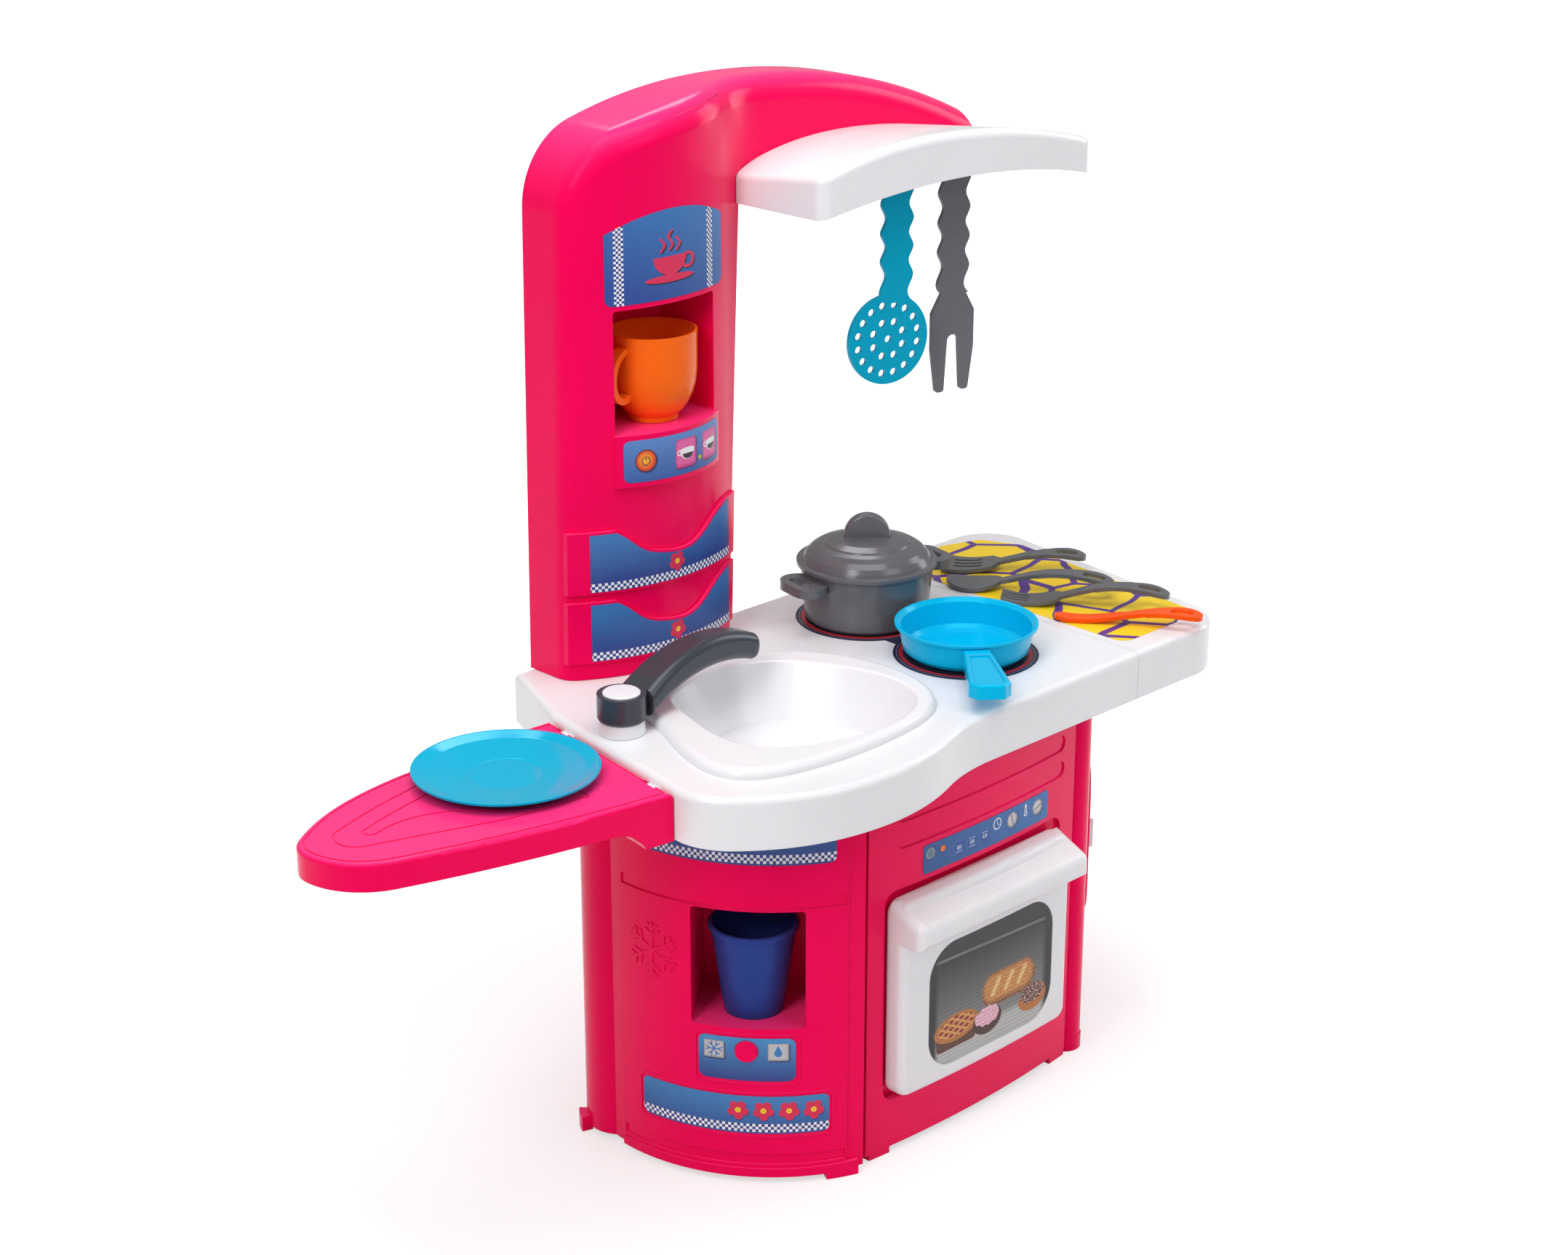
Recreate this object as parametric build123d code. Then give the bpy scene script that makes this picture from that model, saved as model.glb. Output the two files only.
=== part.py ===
"""Toy kitchen: a moulded play kitchen with a fridge, an oven and a washing machine round one
cabinet, a sink worktop with a side table, a coffee tower with a cooker hood, and cookware.

Frame: +Z up, +X to the right along the oven front, and the front faces -Y. The origin is on
the floor under the middle of the whole kitchen. Lengths are in millimetres, angles in degrees.
"""
from build123d import *

import math
import os

# ---------------------------------------------------------------- walls, gaps and fits
wall = 3.0                      # moulded wall of panels, covers and worktop
seam_gap = 0.3                  # gap between neighbouring mouldings and under loose things
sticker_thickness = 0.3
sticker_gap = 0.05
running_clearance = 0.05        # radial clearance of a pin in its hole
relief_depth = 1.4              # depth of moulded bands and grooves
frame_line = 0.9                # height of a raised line round a sticker

# ---------------------------------------------------------------- frame
origin_x = -1.35                # middle of the whole kitchen in the plan used below
origin_y = -1.02

# ---------------------------------------------------------------- curved panels
fridge_centre = (11.0, 7.0)
fridge_radius = 164.0
fridge_first_angle = -113.5
fridge_last_angle = -182.0
washer_centre = (165.0, 5.0)
washer_radius = 158.0
washer_first_angle = -58.0
washer_last_angle = 10.0
pilaster_angle = 5.5            # width of the narrow strip beside each curved field
pilaster_step = 2.0             # the strips lie behind the field by this much
fridge_column_inset = 27.0      # column centre behind the arc's far left point
fridge_column_back = 38.7       # column centre towards the back from the arc's centre
fridge_column_radius = 30.0
washer_column_radius = 14.0
washer_column_offset = (11.7272, 3.9916)  # column centre from the arc's first point
foot_height = 5.5
plinth_height = 13.0
plinth_step = 1.5
back_wall_y = 168.0
left_back_x = -35.0
right_back_x = 318.0
step_x = 84.0                   # where the back wall steps forwards behind the hob
deck_height = 9.0
screw_x = (20.0, 220.0)
screw_z = (60.0, 320.0)
screw_head_radius = 3.6
screw_radius = 1.6
screw_clearance = 0.12          # radial clearance of a screw in its wall and post

# ---------------------------------------------------------------- worktop
worktop_top = 362.0
worktop_skirt = 42.0
worktop_edge_radius = 6.0
worktop_front_y = -153.0
worktop_seam_x = 283.0
worktop_back_y = 178.0
hob_back_y = 158.0
extension_right_x = 438.0
sticker_corner_radius = 12.0
sink_rim_height = 8.0
sink_depth = 36.0               # basin floor below the worktop
sink_floor_share = 0.74         # floor outline of the basin against its opening
sink_centre = (-10.0, -40.0)

# ---------------------------------------------------------------- fridge details
band_height = 9.0
band_bottoms = (16.5, 241.5)
niche_angle = -141.6
niche_width = 90.6
niche_height = 102.0
niche_bottom_z = 138.0
niche_depth = 78.0
niche_wall = 2.5
snowflake_angle = -170.0
snowflake_z = 193.0
snowflake_radius = 24.0
snowflake_line = 2.4
top_sticker_angle = -145.0
top_sticker_bottom_z = 280.0
top_sticker_height = 36.0
top_sticker_width = 154.0
button_sticker_angle = -141.9
button_sticker_z = 111.0
button_sticker_width = 77.5
button_sticker_height = 38.0
button_radius = 9.0
button_rise = 7.5               # button centre above the sticker centre
lower_sticker_angle = -146.3
lower_sticker_z = 61.5
lower_sticker_width = 152.0
lower_sticker_height = 33.5

# ---------------------------------------------------------------- oven
oven_left = (-30.0, -141.0)
oven_middle = (90.0, -147.0)
oven_right = (223.0, -137.5)
side_groove_width = 7.6
side_groove_depth = 4.0
door_centre_x = 95.5
door_width = 205.0
door_bottom_z = 54.0
door_top_z = 227.0
door_front_y = -162.0
door_back_y = -137.3
door_bulge = 3.5
door_corner = 12.0
door_edge_radius = 8.0
door_back_radius = 5.0
door_margin = 5.5
door_hinge_y = -150.0
door_hinge_z = 62.0
door_pin_radius = 2.5
door_lug_width = 5.0
door_lug_inset = 14.0
ledge_depth = 17.0
ledge_height = 20.0
ledge_edge_radius = 8.0
ledge_drop = 14.0
ledge_root_y = -148.0
window_width = 152.0
window_height = 112.0
window_bottom_z = 68.0
window_corner = 30.0
window_recess = 2.5
window_offset_x = 3.0
cavity_width = 168.0
cavity_height = 122.0
cavity_bottom_z = 76.0
cavity_depth = 102.0
groove_height = 15.0
groove_length = 208.0
groove_heights = (277.0, 300.0)
groove_centre_x = 103.0
oven_sticker_width = 156.0
oven_sticker_height = 25.0
oven_sticker_x = 106.0
oven_sticker_z = 252.5

# ---------------------------------------------------------------- washing machine side
washer_angle = -26.0
washer_z = 178.0
washer_pad_width = 132.0
washer_pad_height = 150.0
washer_pad_corner = 40.0
washer_pad_rise = 4.0
porthole_radius = 46.0
porthole_thickness = 7.0
porthole_glass_radius = 30.0
drum_depth = 56.0
porthole_pin_radius = 1.5
porthole_pin_length = 26.0
porthole_barrel_radius = 3.6
hatch_width = 84.0
hatch_height = 56.0
hatch_z = 58.0
hatch_rise = 5.0
washer_sticker_width = 116.0
washer_sticker_height = 26.0
washer_sticker_z = 303.0

# ---------------------------------------------------------------- tower
tower_centre = (-3.5, 257.7)
tower_radius = 157.0
tower_wall = 6.0
tower_edge_radius = 20.0
tower_blend_radius = 110.0       # where the curved front runs into the wing
tower_left_bottom_x = -100.7
tower_left_top_x = -94.5
tower_right_bottom_x = 69.0
tower_right_top_x = 90.0
tower_shoulder_z = 745.0
wing_front_y = 130.0
drawer_step = 3.0
drawer_bottoms = (worktop_top + 15.0, worktop_top + 74.3)
drawer_height = 52.5
drawer_scoop = 24.0
coffee_left_x = -61.0
coffee_right_x = 43.0
coffee_bottom_z = 567.0
coffee_top_z = 668.0
coffee_back_y = 171.5
control_centre_y = 191.5
control_radius = 100.0
control_bottom_z = 524.0
control_sticker_width = 102.0
coffee_sticker_bottom_z = 672.0
coffee_sticker_height = 68.0
coffee_sticker_width = 124.0

# ---------------------------------------------------------------- hood
hood_left = (86.0, 27.0)
hood_right = (381.0, -4.0)
hood_bulge = 8.0
hood_back_y = 129.7
hood_bottom_z = 729.0
hood_arch = 19.0
hood_top_slope = 0.11
hood_edge_radius = 7.0
hood_corner_radius = 12.0
rail_y = 46.0
rail_left_x = 150.0
rail_right_x = 285.0
peg_z = 744.0
peg_radius = 2.5
peg_length = 14.0
peg_hole_clearance = 1.5        # radial, so that a hanging utensil can swing
peg_play = 0.9                  # how far a hanging utensil's hole stands above its peg

# ---------------------------------------------------------------- side table
table_origin = (-170.0, 1.5)    # on the hinge edge of the worktop
table_turn = 9.03               # hinge edge turned from the Y axis
table_top_z = worktop_top - 4.0
table_skirt = 22.0
table_root_skirt = 39.0
table_root_length = 22.0
table_root_sweep = 30.0         # radius of the underside where the root runs out
table_barrel = 5.0
table_pin_radius = 1.5
table_lug_width = 15.0
table_lug_offsets = (-62.0, 62.0)
table_hook_radius = 2.8
table_hook_arm = 3.0
table_groove = 1.6
table_groove_depth = 0.8
table_border = 4.5              # the border line lies this far inside the edge

# ---------------------------------------------------------------- tap
tap_position = (-138.0, 23.0)
tap_post_radius = 18.5
tap_post_height = 11.0
tap_ring_radius = 19.5
tap_ring_height = 21.5
tap_arm_width = 22.0
tap_arm_edge_radius = 7.0
tap_arm_turn = 4.5
tap_pivot_radius = 7.0
tap_cap_radius = 15.0

# ---------------------------------------------------------------- cookware and tableware
pot_position = (184.0, 68.0)
pot_radius = 57.0
pot_base_radius = 53.0
pot_height = 49.0
pot_handle_turn = -10.0
lid_turn = 45.0
cookware_wall = 2.4
pan_position = (179.0, -52.0)
pan_radius = 60.0
pan_base_radius = 47.0
pan_height = 28.0
pan_handle_end = (91.0, -158.0)
hob_radius = 61.0
mug_position = (-2.0, 132.0)
mug_radius = 37.0
mug_foot_radius = 21.0
mug_height = 73.0
mug_turn = 188.0
cup_radius = 35.5
cup_base_radius = 24.0
cup_height = 76.0
cup_setback = 39.0              # cup centre behind the fridge's face
plate_offset = 84.0             # plate centre from the hinge edge
plate_radius = 72.0
plate_height = 9.0
utensil_thickness = 3.6
skimmer_position = (184.0, 38.0)
skimmer_turn = -15.0
hanging_fork_position = (253.0, 38.0)
hanging_fork_turn = -15.0
hanging_handle_width = 26.0


# ---------------------------------------------------------------- small helpers
def polar(centre, radius, angle):
    """The plan point at a radius and angle about a centre."""
    a = math.radians(angle)
    return (centre[0] + radius * math.cos(a), centre[1] + radius * math.sin(a))


fridge_column_centre = (fridge_centre[0] - fridge_radius + fridge_column_inset,
                        fridge_centre[1] + fridge_column_back)
washer_start = polar(washer_centre, washer_radius, washer_first_angle)
washer_column_centre = (washer_start[0] - washer_column_offset[0],
                        washer_start[1] + washer_column_offset[1])


def outline(*edges):
    """A face inside edges that follow each other round."""
    return make_face(list(edges))


def prism(face, low, high):
    """A plan face raised from one height to another."""
    return Pos(0, 0, low) * extrude(face, high - low, dir=(0, 0, 1))


def inset_face(face, distance):
    """A plan face with its outline moved inwards, drawn again with plain curves."""
    shrunk = offset(face, -distance, kind=Kind.INTERSECTION)
    edges = []
    for edge in shrunk.faces()[0].outer_wire().edges():
        if edge.geom_type in (GeomType.LINE, GeomType.CIRCLE):
            edges.append(edge)
        else:
            points = [edge @ (i / 16) for i in range(17)]
            edges.append(Spline(*points, tangents=(edge % 0, edge % 1)))
    return make_face(edges)


def ring_sector(centre, inner, outer, start, end):
    """A plan face between two radii, from one angle to another."""
    sweep = end - start
    outer_arc = CenterArc(centre, outer, start, sweep)
    inner_arc = CenterArc(centre, inner, start, sweep)
    back = ThreePointArc(inner_arc @ 1, inner_arc @ 0.5, inner_arc @ 0)
    return outline(outer_arc, Line(outer_arc @ 1, inner_arc @ 1), back,
                   Line(inner_arc @ 0, outer_arc @ 0))


def radial_plane(centre, radius, angle, height):
    """A plane that faces outwards from a vertical cylinder, its local Y up."""
    a = math.radians(angle)
    x, y = polar(centre, radius, angle)
    return Plane(origin=(x, y, height), x_dir=(-math.sin(a), math.cos(a), 0),
                 z_dir=(math.cos(a), math.sin(a), 0))


def front_plane(x, y, z):
    """A plane that faces -Y, its local X to the right and its local Y up."""
    return Plane(origin=(x, y, z), x_dir=(1, 0, 0), z_dir=(0, -1, 0))


def side_plane(x, y, z):
    """A plane that faces +X, its local X along +Y and its local Y up."""
    return Plane(origin=(x, y, z), x_dir=(0, 1, 0), z_dir=(1, 0, 0))


def through(plane, sketch, outward, inward):
    """A prism of a sketch that passes through its plane both ways."""
    return extrude(plane.offset(-inward) * sketch, outward + inward, dir=plane.z_dir)


def turned(points):
    """A solid turned about Z from a closed outline of radius and height points."""
    return revolve(Plane.XZ * make_face(Polyline(*points, close=True)), Axis.Z)


def patch(centre, angle, z, sketch, low_radius, high_radius):
    """A flat outline laid round a vertical cylinder as a thin layer between two radii."""
    plane = radial_plane(centre, high_radius, angle, z)
    band = prism(ring_sector(centre, low_radius, high_radius, angle - 62, angle + 62),
                 z - 130, z + 130)
    return through(plane, sketch, 20.0, 80.0) & band


def curved_sticker(centre, radius, angle, z, sketch):
    low = radius + sticker_gap
    return patch(centre, angle, z, sketch, low, low + sticker_thickness)


def sticker_frame(centre, radius, angle, z, width, height):
    """A raised line round a sticker."""
    ring = RectangleRounded(width + 7.5, height + 7.5, 6.5)
    ring -= RectangleRounded(width + 3.5, height + 3.5, 4.5)
    return patch(centre, angle, z, ring, radius - 0.6, radius + frame_line)


panel_top_z = worktop_top - wall - seam_gap


# ---------------------------------------------------------------- curved cabinet panels
def curved_field(centre, radius, first, last):
    """The curved field, its recessed bands and the plinth lip under it."""
    field = prism(ring_sector(centre, radius - wall, radius, first, last),
                  foot_height, panel_top_z)
    inset = math.copysign(0.5, last - first)
    for bottom in band_bottoms:
        cut = ring_sector(centre, radius - relief_depth, radius + 5, first + inset, last - inset)
        field -= prism(cut, bottom, bottom + band_height)
        lining = ring_sector(centre, radius - relief_depth - wall, radius - wall + 0.5,
                             first + inset, last - inset)
        field += prism(lining, bottom - wall, bottom + band_height + wall)
    lip = ring_sector(centre, radius - wall, radius + plinth_step, first, last)
    return field + prism(lip, foot_height, plinth_height)


def strip(centre, radius, start, end):
    """A plain upright strip of curved wall."""
    return prism(ring_sector(centre, radius - wall, radius, start, end),
                 foot_height, panel_top_z)


def foot(centre, inner, outer, start, end):
    return prism(ring_sector(centre, inner, outer, start, end), 0, plinth_height)


def niche_box(grow):
    """The drink niche's hollow, or its outside when grown."""
    plane = radial_plane(fridge_centre, fridge_radius, niche_angle,
                         niche_bottom_z + niche_height / 2)
    sketch = RectangleRounded(niche_width + 2 * grow, niche_height + 2 * grow, 3.0 + grow)
    return through(plane, sketch, 30.0, niche_depth + grow)


def niche_shell():
    """The walls of the drink niche, trimmed to the fridge's face."""
    trim = Pos(fridge_centre[0], fridge_centre[1], niche_bottom_z) * Cylinder(
        fridge_radius - 0.5, 4 * niche_height)
    return niche_box(niche_wall) & trim


def snowflake():
    """A six-armed snowflake with two pairs of twigs on each arm."""
    arm = Pos(0, snowflake_radius / 2) * Rectangle(snowflake_line, snowflake_radius)
    for place, length in ((0.5, 9.0), (0.78, 6.5)):
        for side in (-1, 1):
            twig = Pos(0, snowflake_radius * place) * Rot(0, 0, side * 52) * Pos(0, length / 2)
            arm += twig * Rectangle(snowflake_line, length)
    flake = Circle(snowflake_line)
    for turn in range(6):
        flake += Rot(0, 0, 60 * turn) * arm
    return patch(fridge_centre, snowflake_angle, snowflake_z, flake,
                 fridge_radius - 0.6, fridge_radius + frame_line)


def fridge_front_panel():
    strip_radius = fridge_radius - pilaster_step
    right_end = fridge_first_angle + pilaster_angle
    panel = curved_field(fridge_centre, fridge_radius, fridge_first_angle, fridge_last_angle)
    panel += strip(fridge_centre, strip_radius, fridge_first_angle - 1, right_end)
    panel += strip(fridge_centre, strip_radius, fridge_last_angle + 1,
                   fridge_last_angle - pilaster_angle - 0.6)
    panel += strip(fridge_column_centre, fridge_column_radius, 132.0, 219.5)
    panel += foot(fridge_centre, fridge_radius - 8, fridge_radius + plinth_step,
                  fridge_first_angle - 6, fridge_first_angle + 3.5)
    panel += foot(fridge_column_centre, fridge_column_radius - wall,
                  fridge_column_radius + 6.5, 133.0, 161.0)
    panel += niche_shell()
    panel -= niche_box(0)
    panel += snowflake()
    panel += sticker_frame(fridge_centre, fridge_radius, button_sticker_angle,
                           button_sticker_z, button_sticker_width, button_sticker_height)
    panel += sticker_frame(fridge_centre, fridge_radius, lower_sticker_angle,
                           lower_sticker_z, lower_sticker_width, lower_sticker_height)
    panel += patch(fridge_centre, button_sticker_angle, button_sticker_z + button_rise,
                   Circle(button_radius), fridge_radius - 0.6, fridge_radius + 2.2)
    return panel


def fridge_top_sticker():
    sketch = RectangleRounded(top_sticker_width, top_sticker_height, 5)
    return curved_sticker(fridge_centre, fridge_radius, top_sticker_angle,
                          top_sticker_bottom_z + top_sticker_height / 2, sketch)


def dispenser_sticker():
    sketch = RectangleRounded(button_sticker_width, button_sticker_height, 6)
    sketch -= Pos(0, button_rise) * Circle(button_radius + 0.4)
    return curved_sticker(fridge_centre, fridge_radius, button_sticker_angle,
                          button_sticker_z, sketch)


def flower_sticker():
    sketch = RectangleRounded(lower_sticker_width, lower_sticker_height, 5)
    return curved_sticker(fridge_centre, fridge_radius, lower_sticker_angle,
                          lower_sticker_z, sketch)


# ---------------------------------------------------------------- washing machine panel
pad_radius = washer_radius + washer_pad_rise
door_seat_radius = washer_radius - 2.0
porthole_outer_radius = door_seat_radius + seam_gap + porthole_thickness


def on_washer(sketch, low, high, z):
    return patch(washer_centre, washer_angle, z, sketch, low, high)


def porthole_bore(radius, low, high):
    """A round bore square to the washer's face, between two radii of the panel."""
    plane = radial_plane(washer_centre, low, washer_angle, washer_z)
    return through(plane, Circle(radius), high - low, 0)


def porthole_axis_point():
    """The plan point of the porthole's hinge, on its rear edge."""
    return polar(washer_centre, porthole_outer_radius - 1.0, washer_angle + porthole_axis_turn)


porthole_axis_turn = math.degrees((porthole_radius + 6.0) / porthole_outer_radius)


def hinge_barrel(bottom, top, radius):
    x, y = porthole_axis_point()
    return Pos(x, y, bottom) * extrude(Circle(radius), top - bottom, dir=(0, 0, 1))


def washer_side_panel():
    strip_radius = washer_radius - pilaster_step
    end = washer_last_angle + pilaster_angle
    panel = curved_field(washer_centre, washer_radius, washer_first_angle, washer_last_angle)
    panel += strip(washer_centre, strip_radius, washer_last_angle - 1, end)
    panel += strip(washer_column_centre, washer_column_radius, -172.0, -9.0)
    panel += foot(washer_column_centre, washer_column_radius - wall - 2,
                  washer_column_radius + 1, -150.0, -40.0)
    panel += foot(washer_centre, washer_radius - 8, washer_radius + plinth_step,
                  washer_last_angle - 9, washer_last_angle)
    pad = RectangleRounded(washer_pad_width, washer_pad_height, washer_pad_corner)
    panel += on_washer(pad, washer_radius - 0.6, pad_radius, washer_z)
    hatch = RectangleRounded(hatch_width, hatch_height, 16)
    panel += on_washer(hatch, washer_radius - 0.6, washer_radius + hatch_rise, hatch_z)
    drum = porthole_bore(porthole_radius - 2, washer_radius - drum_depth, washer_radius - 1)
    panel += drum
    panel += on_washer(Circle(porthole_radius + 4), washer_radius - 7, washer_radius - 1,
                       washer_z)
    panel -= on_washer(Circle(porthole_radius + 1), door_seat_radius, washer_radius + 20,
                       washer_z)
    panel -= porthole_bore(porthole_radius - 5, washer_radius - drum_depth + wall,
                           washer_radius + 20)
    panel -= hinge_barrel(washer_z - 30, washer_z + 30, porthole_barrel_radius + 0.8)
    notch = Pos(porthole_radius + 3, 0) * Rectangle(14, porthole_pin_length - 7.6)
    panel -= on_washer(notch, door_seat_radius, washer_radius + 20, washer_z)
    for side in (-1, 1):
        panel += porthole_lug(side)
    return panel


def porthole_lug(side):
    """One of two ears that carry the porthole's pin."""
    middle = washer_z + side * (porthole_pin_length / 2 - 2)
    x, y = porthole_axis_point()
    root = polar(washer_centre, washer_radius - 1, washer_angle + porthole_axis_turn + 1.5)
    arm = Line((x, y), root)
    length = arm.length
    plane = Plane(origin=(x, y, middle - 2), x_dir=tuple(arm % 0), z_dir=(0, 0, 1))
    shape = Circle(porthole_barrel_radius) + Pos(length / 2) * Rectangle(
        length, 2 * porthole_barrel_radius)
    shape -= Circle(porthole_pin_radius + running_clearance)
    return extrude(plane * shape, 4.0, dir=(0, 0, 1))


def washer_door():
    """The round porthole door that follows the curved panel, with its hinge barrel."""
    low = door_seat_radius + seam_gap
    door = on_washer(Circle(porthole_radius), low, porthole_outer_radius, washer_z)
    door -= on_washer(Circle(porthole_radius - 8), porthole_outer_radius - 2.5,
                      porthole_outer_radius + 5, washer_z)
    door -= on_washer(Circle(porthole_glass_radius), low - 5, porthole_outer_radius + 5,
                      washer_z)
    grip = Pos(-porthole_radius + 4, 0) * RectangleRounded(6, 26, 2.5)
    door += on_washer(grip, low + 1, porthole_outer_radius + 4, washer_z)
    half = porthole_pin_length / 2 - 4.3
    x, y = porthole_axis_point()
    inner = polar(washer_centre, porthole_outer_radius - 3, washer_angle + porthole_axis_turn - 6)
    arm = Line((x, y), inner)
    plane = Plane(origin=(x, y, washer_z - half), x_dir=tuple(arm % 0), z_dir=(0, 0, 1))
    shape = Circle(2.4) + Pos(arm.length / 2) * Rectangle(arm.length, 4.0)
    door += extrude(plane * shape, 2 * half, dir=(0, 0, 1))
    door -= hinge_barrel(washer_z - 20, washer_z + 20, porthole_pin_radius)
    return door


def washer_hinge_pin():
    return hinge_barrel(washer_z - porthole_pin_length / 2, washer_z + porthole_pin_length / 2,
                        porthole_pin_radius)


def washer_window():
    """The clear disc in the porthole door."""
    low = door_seat_radius + seam_gap
    return on_washer(Circle(porthole_glass_radius - 0.1), low + 1.0, low + 3.2, washer_z)


def washer_sticker():
    sketch = RectangleRounded(washer_sticker_width, washer_sticker_height, 4)
    return curved_sticker(washer_centre, washer_radius, washer_angle, washer_sticker_z, sketch)


# ---------------------------------------------------------------- oven panel and liner
def shifted(point, back):
    return (point[0], point[1] + back)


def oven_layer(back, front):
    """A plan face that follows the oven panel between two depths behind its front."""
    near = ThreePointArc(shifted(oven_left, front), shifted(oven_middle, front),
                         shifted(oven_right, front))
    far = ThreePointArc(shifted(oven_right, back), shifted(oven_middle, back),
                        shifted(oven_left, back))
    return outline(near, Line(near @ 1, far @ 0), far, Line(far @ 1, near @ 0))


pocket_y = door_back_y + 0.9
pocket_bottom = door_bottom_z - door_margin
pocket_top = door_top_z + door_margin + 3
lug_centres = (door_centre_x - door_width / 2 + door_lug_inset,
               door_centre_x + door_width / 2 - door_lug_inset)
cavity_middle_z = cavity_bottom_z + cavity_height / 2


def pocket_sketch(grow):
    return RectangleRounded(door_width + 2 * door_margin + 2 * grow,
                            pocket_top - pocket_bottom + 2 * grow, door_corner + grow)


def pocket_plane(y):
    return front_plane(door_centre_x, y, (pocket_top + pocket_bottom) / 2)


def cavity_sketch(grow):
    return RectangleRounded(cavity_width + 2 * grow, cavity_height + 2 * grow, 5.0 + grow)


def cavity_plane(y):
    return front_plane(door_centre_x, y, cavity_middle_z)


def door_lug(x):
    """An ear that reaches into the hollow door and carries one of its pins."""
    reach = pocket_y + wall / 2 - door_hinge_y
    shape = Circle(4.4) + Pos(reach / 2, 0) * Rectangle(reach, 8.8)
    shape -= Circle(door_pin_radius + running_clearance)
    plane = side_plane(x - door_lug_width / 2, door_hinge_y, door_hinge_z)
    return extrude(plane * shape, door_lug_width, dir=(1, 0, 0))


def side_groove_strip():
    """The set-back strip between the oven panel and the fridge panel."""
    back = oven_left[1] + side_groove_depth
    outer = [(oven_left[0] - side_groove_width, back + 2.0), (oven_left[0] + wall, back),
             (oven_left[0] + wall, back + wall), (oven_left[0] - side_groove_width, back + 5.0)]
    return make_face(Polyline(*outer, close=True))


def oven_front_panel():
    panel = prism(oven_layer(wall, 0), foot_height, panel_top_z)
    panel += prism(side_groove_strip(), foot_height, panel_top_z)
    near_left = Pos(oven_left[0] + wall / 2, oven_left[1] + 4, 0) * Rectangle(wall, 7)
    panel += prism(near_left, foot_height, panel_top_z)
    for z in groove_heights:
        plane = front_plane(groove_centre_x, 0, z)
        cutter = through(plane, SlotOverall(groove_length, groove_height), 220, 0)
        backing = through(plane, SlotOverall(groove_length + 4, groove_height + 4), 220, 0)
        panel += backing & prism(oven_layer(wall + relief_depth, 1), z - 30, z + 30)
        panel -= cutter & prism(oven_layer(relief_depth, -5), z - 30, z + 30)
    tray = through(pocket_plane(pocket_y + wall), pocket_sketch(wall), 24, 0)
    tray -= through(pocket_plane(pocket_y), pocket_sketch(0), 40, 0)
    tray &= prism(oven_layer(60, 0.6), 0, panel_top_z)
    panel -= through(pocket_plane(pocket_y), pocket_sketch(0), 40, 0)
    panel += tray
    panel -= through(cavity_plane(pocket_y + 10), cavity_sketch(0), 30, 0)
    for x in lug_centres:
        panel += door_lug(x)
    for start in (oven_left[0] + wall, oven_right[0] - 24):
        block = Pos(start + 12, -140, 0) * Rectangle(22, 60)
        panel += prism(block & oven_layer(wall + 5, 0), 0, plinth_height)
    return panel


def oven_cavity():
    """The liner box behind the door."""
    front = pocket_y + wall + seam_gap
    outer = through(cavity_plane(front), cavity_sketch(wall), 0, cavity_depth)
    inner = through(cavity_plane(front), cavity_sketch(0), 5, cavity_depth - wall)
    return outer - inner


def door_plan(shrink, back):
    """The door's plan, its front gently bulged."""
    half = door_width / 2 - shrink
    side_y = door_front_y + door_bulge + shrink
    front = ThreePointArc((door_centre_x - half, side_y),
                          (door_centre_x, door_front_y + shrink),
                          (door_centre_x + half, side_y))
    rim = Polyline((door_centre_x + half, side_y), (door_centre_x + half, back),
                   (door_centre_x - half, back), (door_centre_x - half, side_y))
    return outline(front, *rim.edges())


def door_slab(shrink, back):
    slab = prism(door_plan(shrink, back), door_bottom_z + shrink, door_top_z - shrink)
    return fillet(slab.edges().filter_by(Axis.Y), door_corner - shrink)


def ledge_block(shrink, root):
    """The handle ledge across the top of the door, its top sloping to the front."""
    tip_y = door_front_y - ledge_depth + shrink
    tip_top = door_top_z - ledge_drop - shrink
    tip_bottom = door_top_z - ledge_drop - ledge_height + shrink
    points = [(root, door_top_z - shrink), (ledge_root_y, door_top_z - shrink),
              (tip_y, tip_top), (tip_y, tip_bottom), (root, tip_bottom)]
    half = door_width / 2 - shrink
    plane = side_plane(door_centre_x - half, 0, 0)
    return extrude(plane * make_face(Polyline(*points, close=True)), 2 * half, dir=(1, 0, 0))


def door_shape():
    """The door's outside with its rounded edges."""
    slab = door_slab(0, door_back_y)
    front = slab.edges().filter_by(lambda e: e.center().Y < door_front_y + door_bulge + 1)
    slab = fillet(front, door_edge_radius)
    rear = slab.edges().filter_by(
        lambda e: abs(e.center().Y - door_back_y) < 0.1 and e.center().Z < door_bottom_z + 1)
    slab = fillet(rear, door_back_radius)
    ledge = ledge_block(0, door_back_y - 6)
    tip = ledge.edges().filter_by(lambda e: e.center().Y < door_front_y - 1)
    return slab + fillet(tip, ledge_edge_radius)


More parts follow.
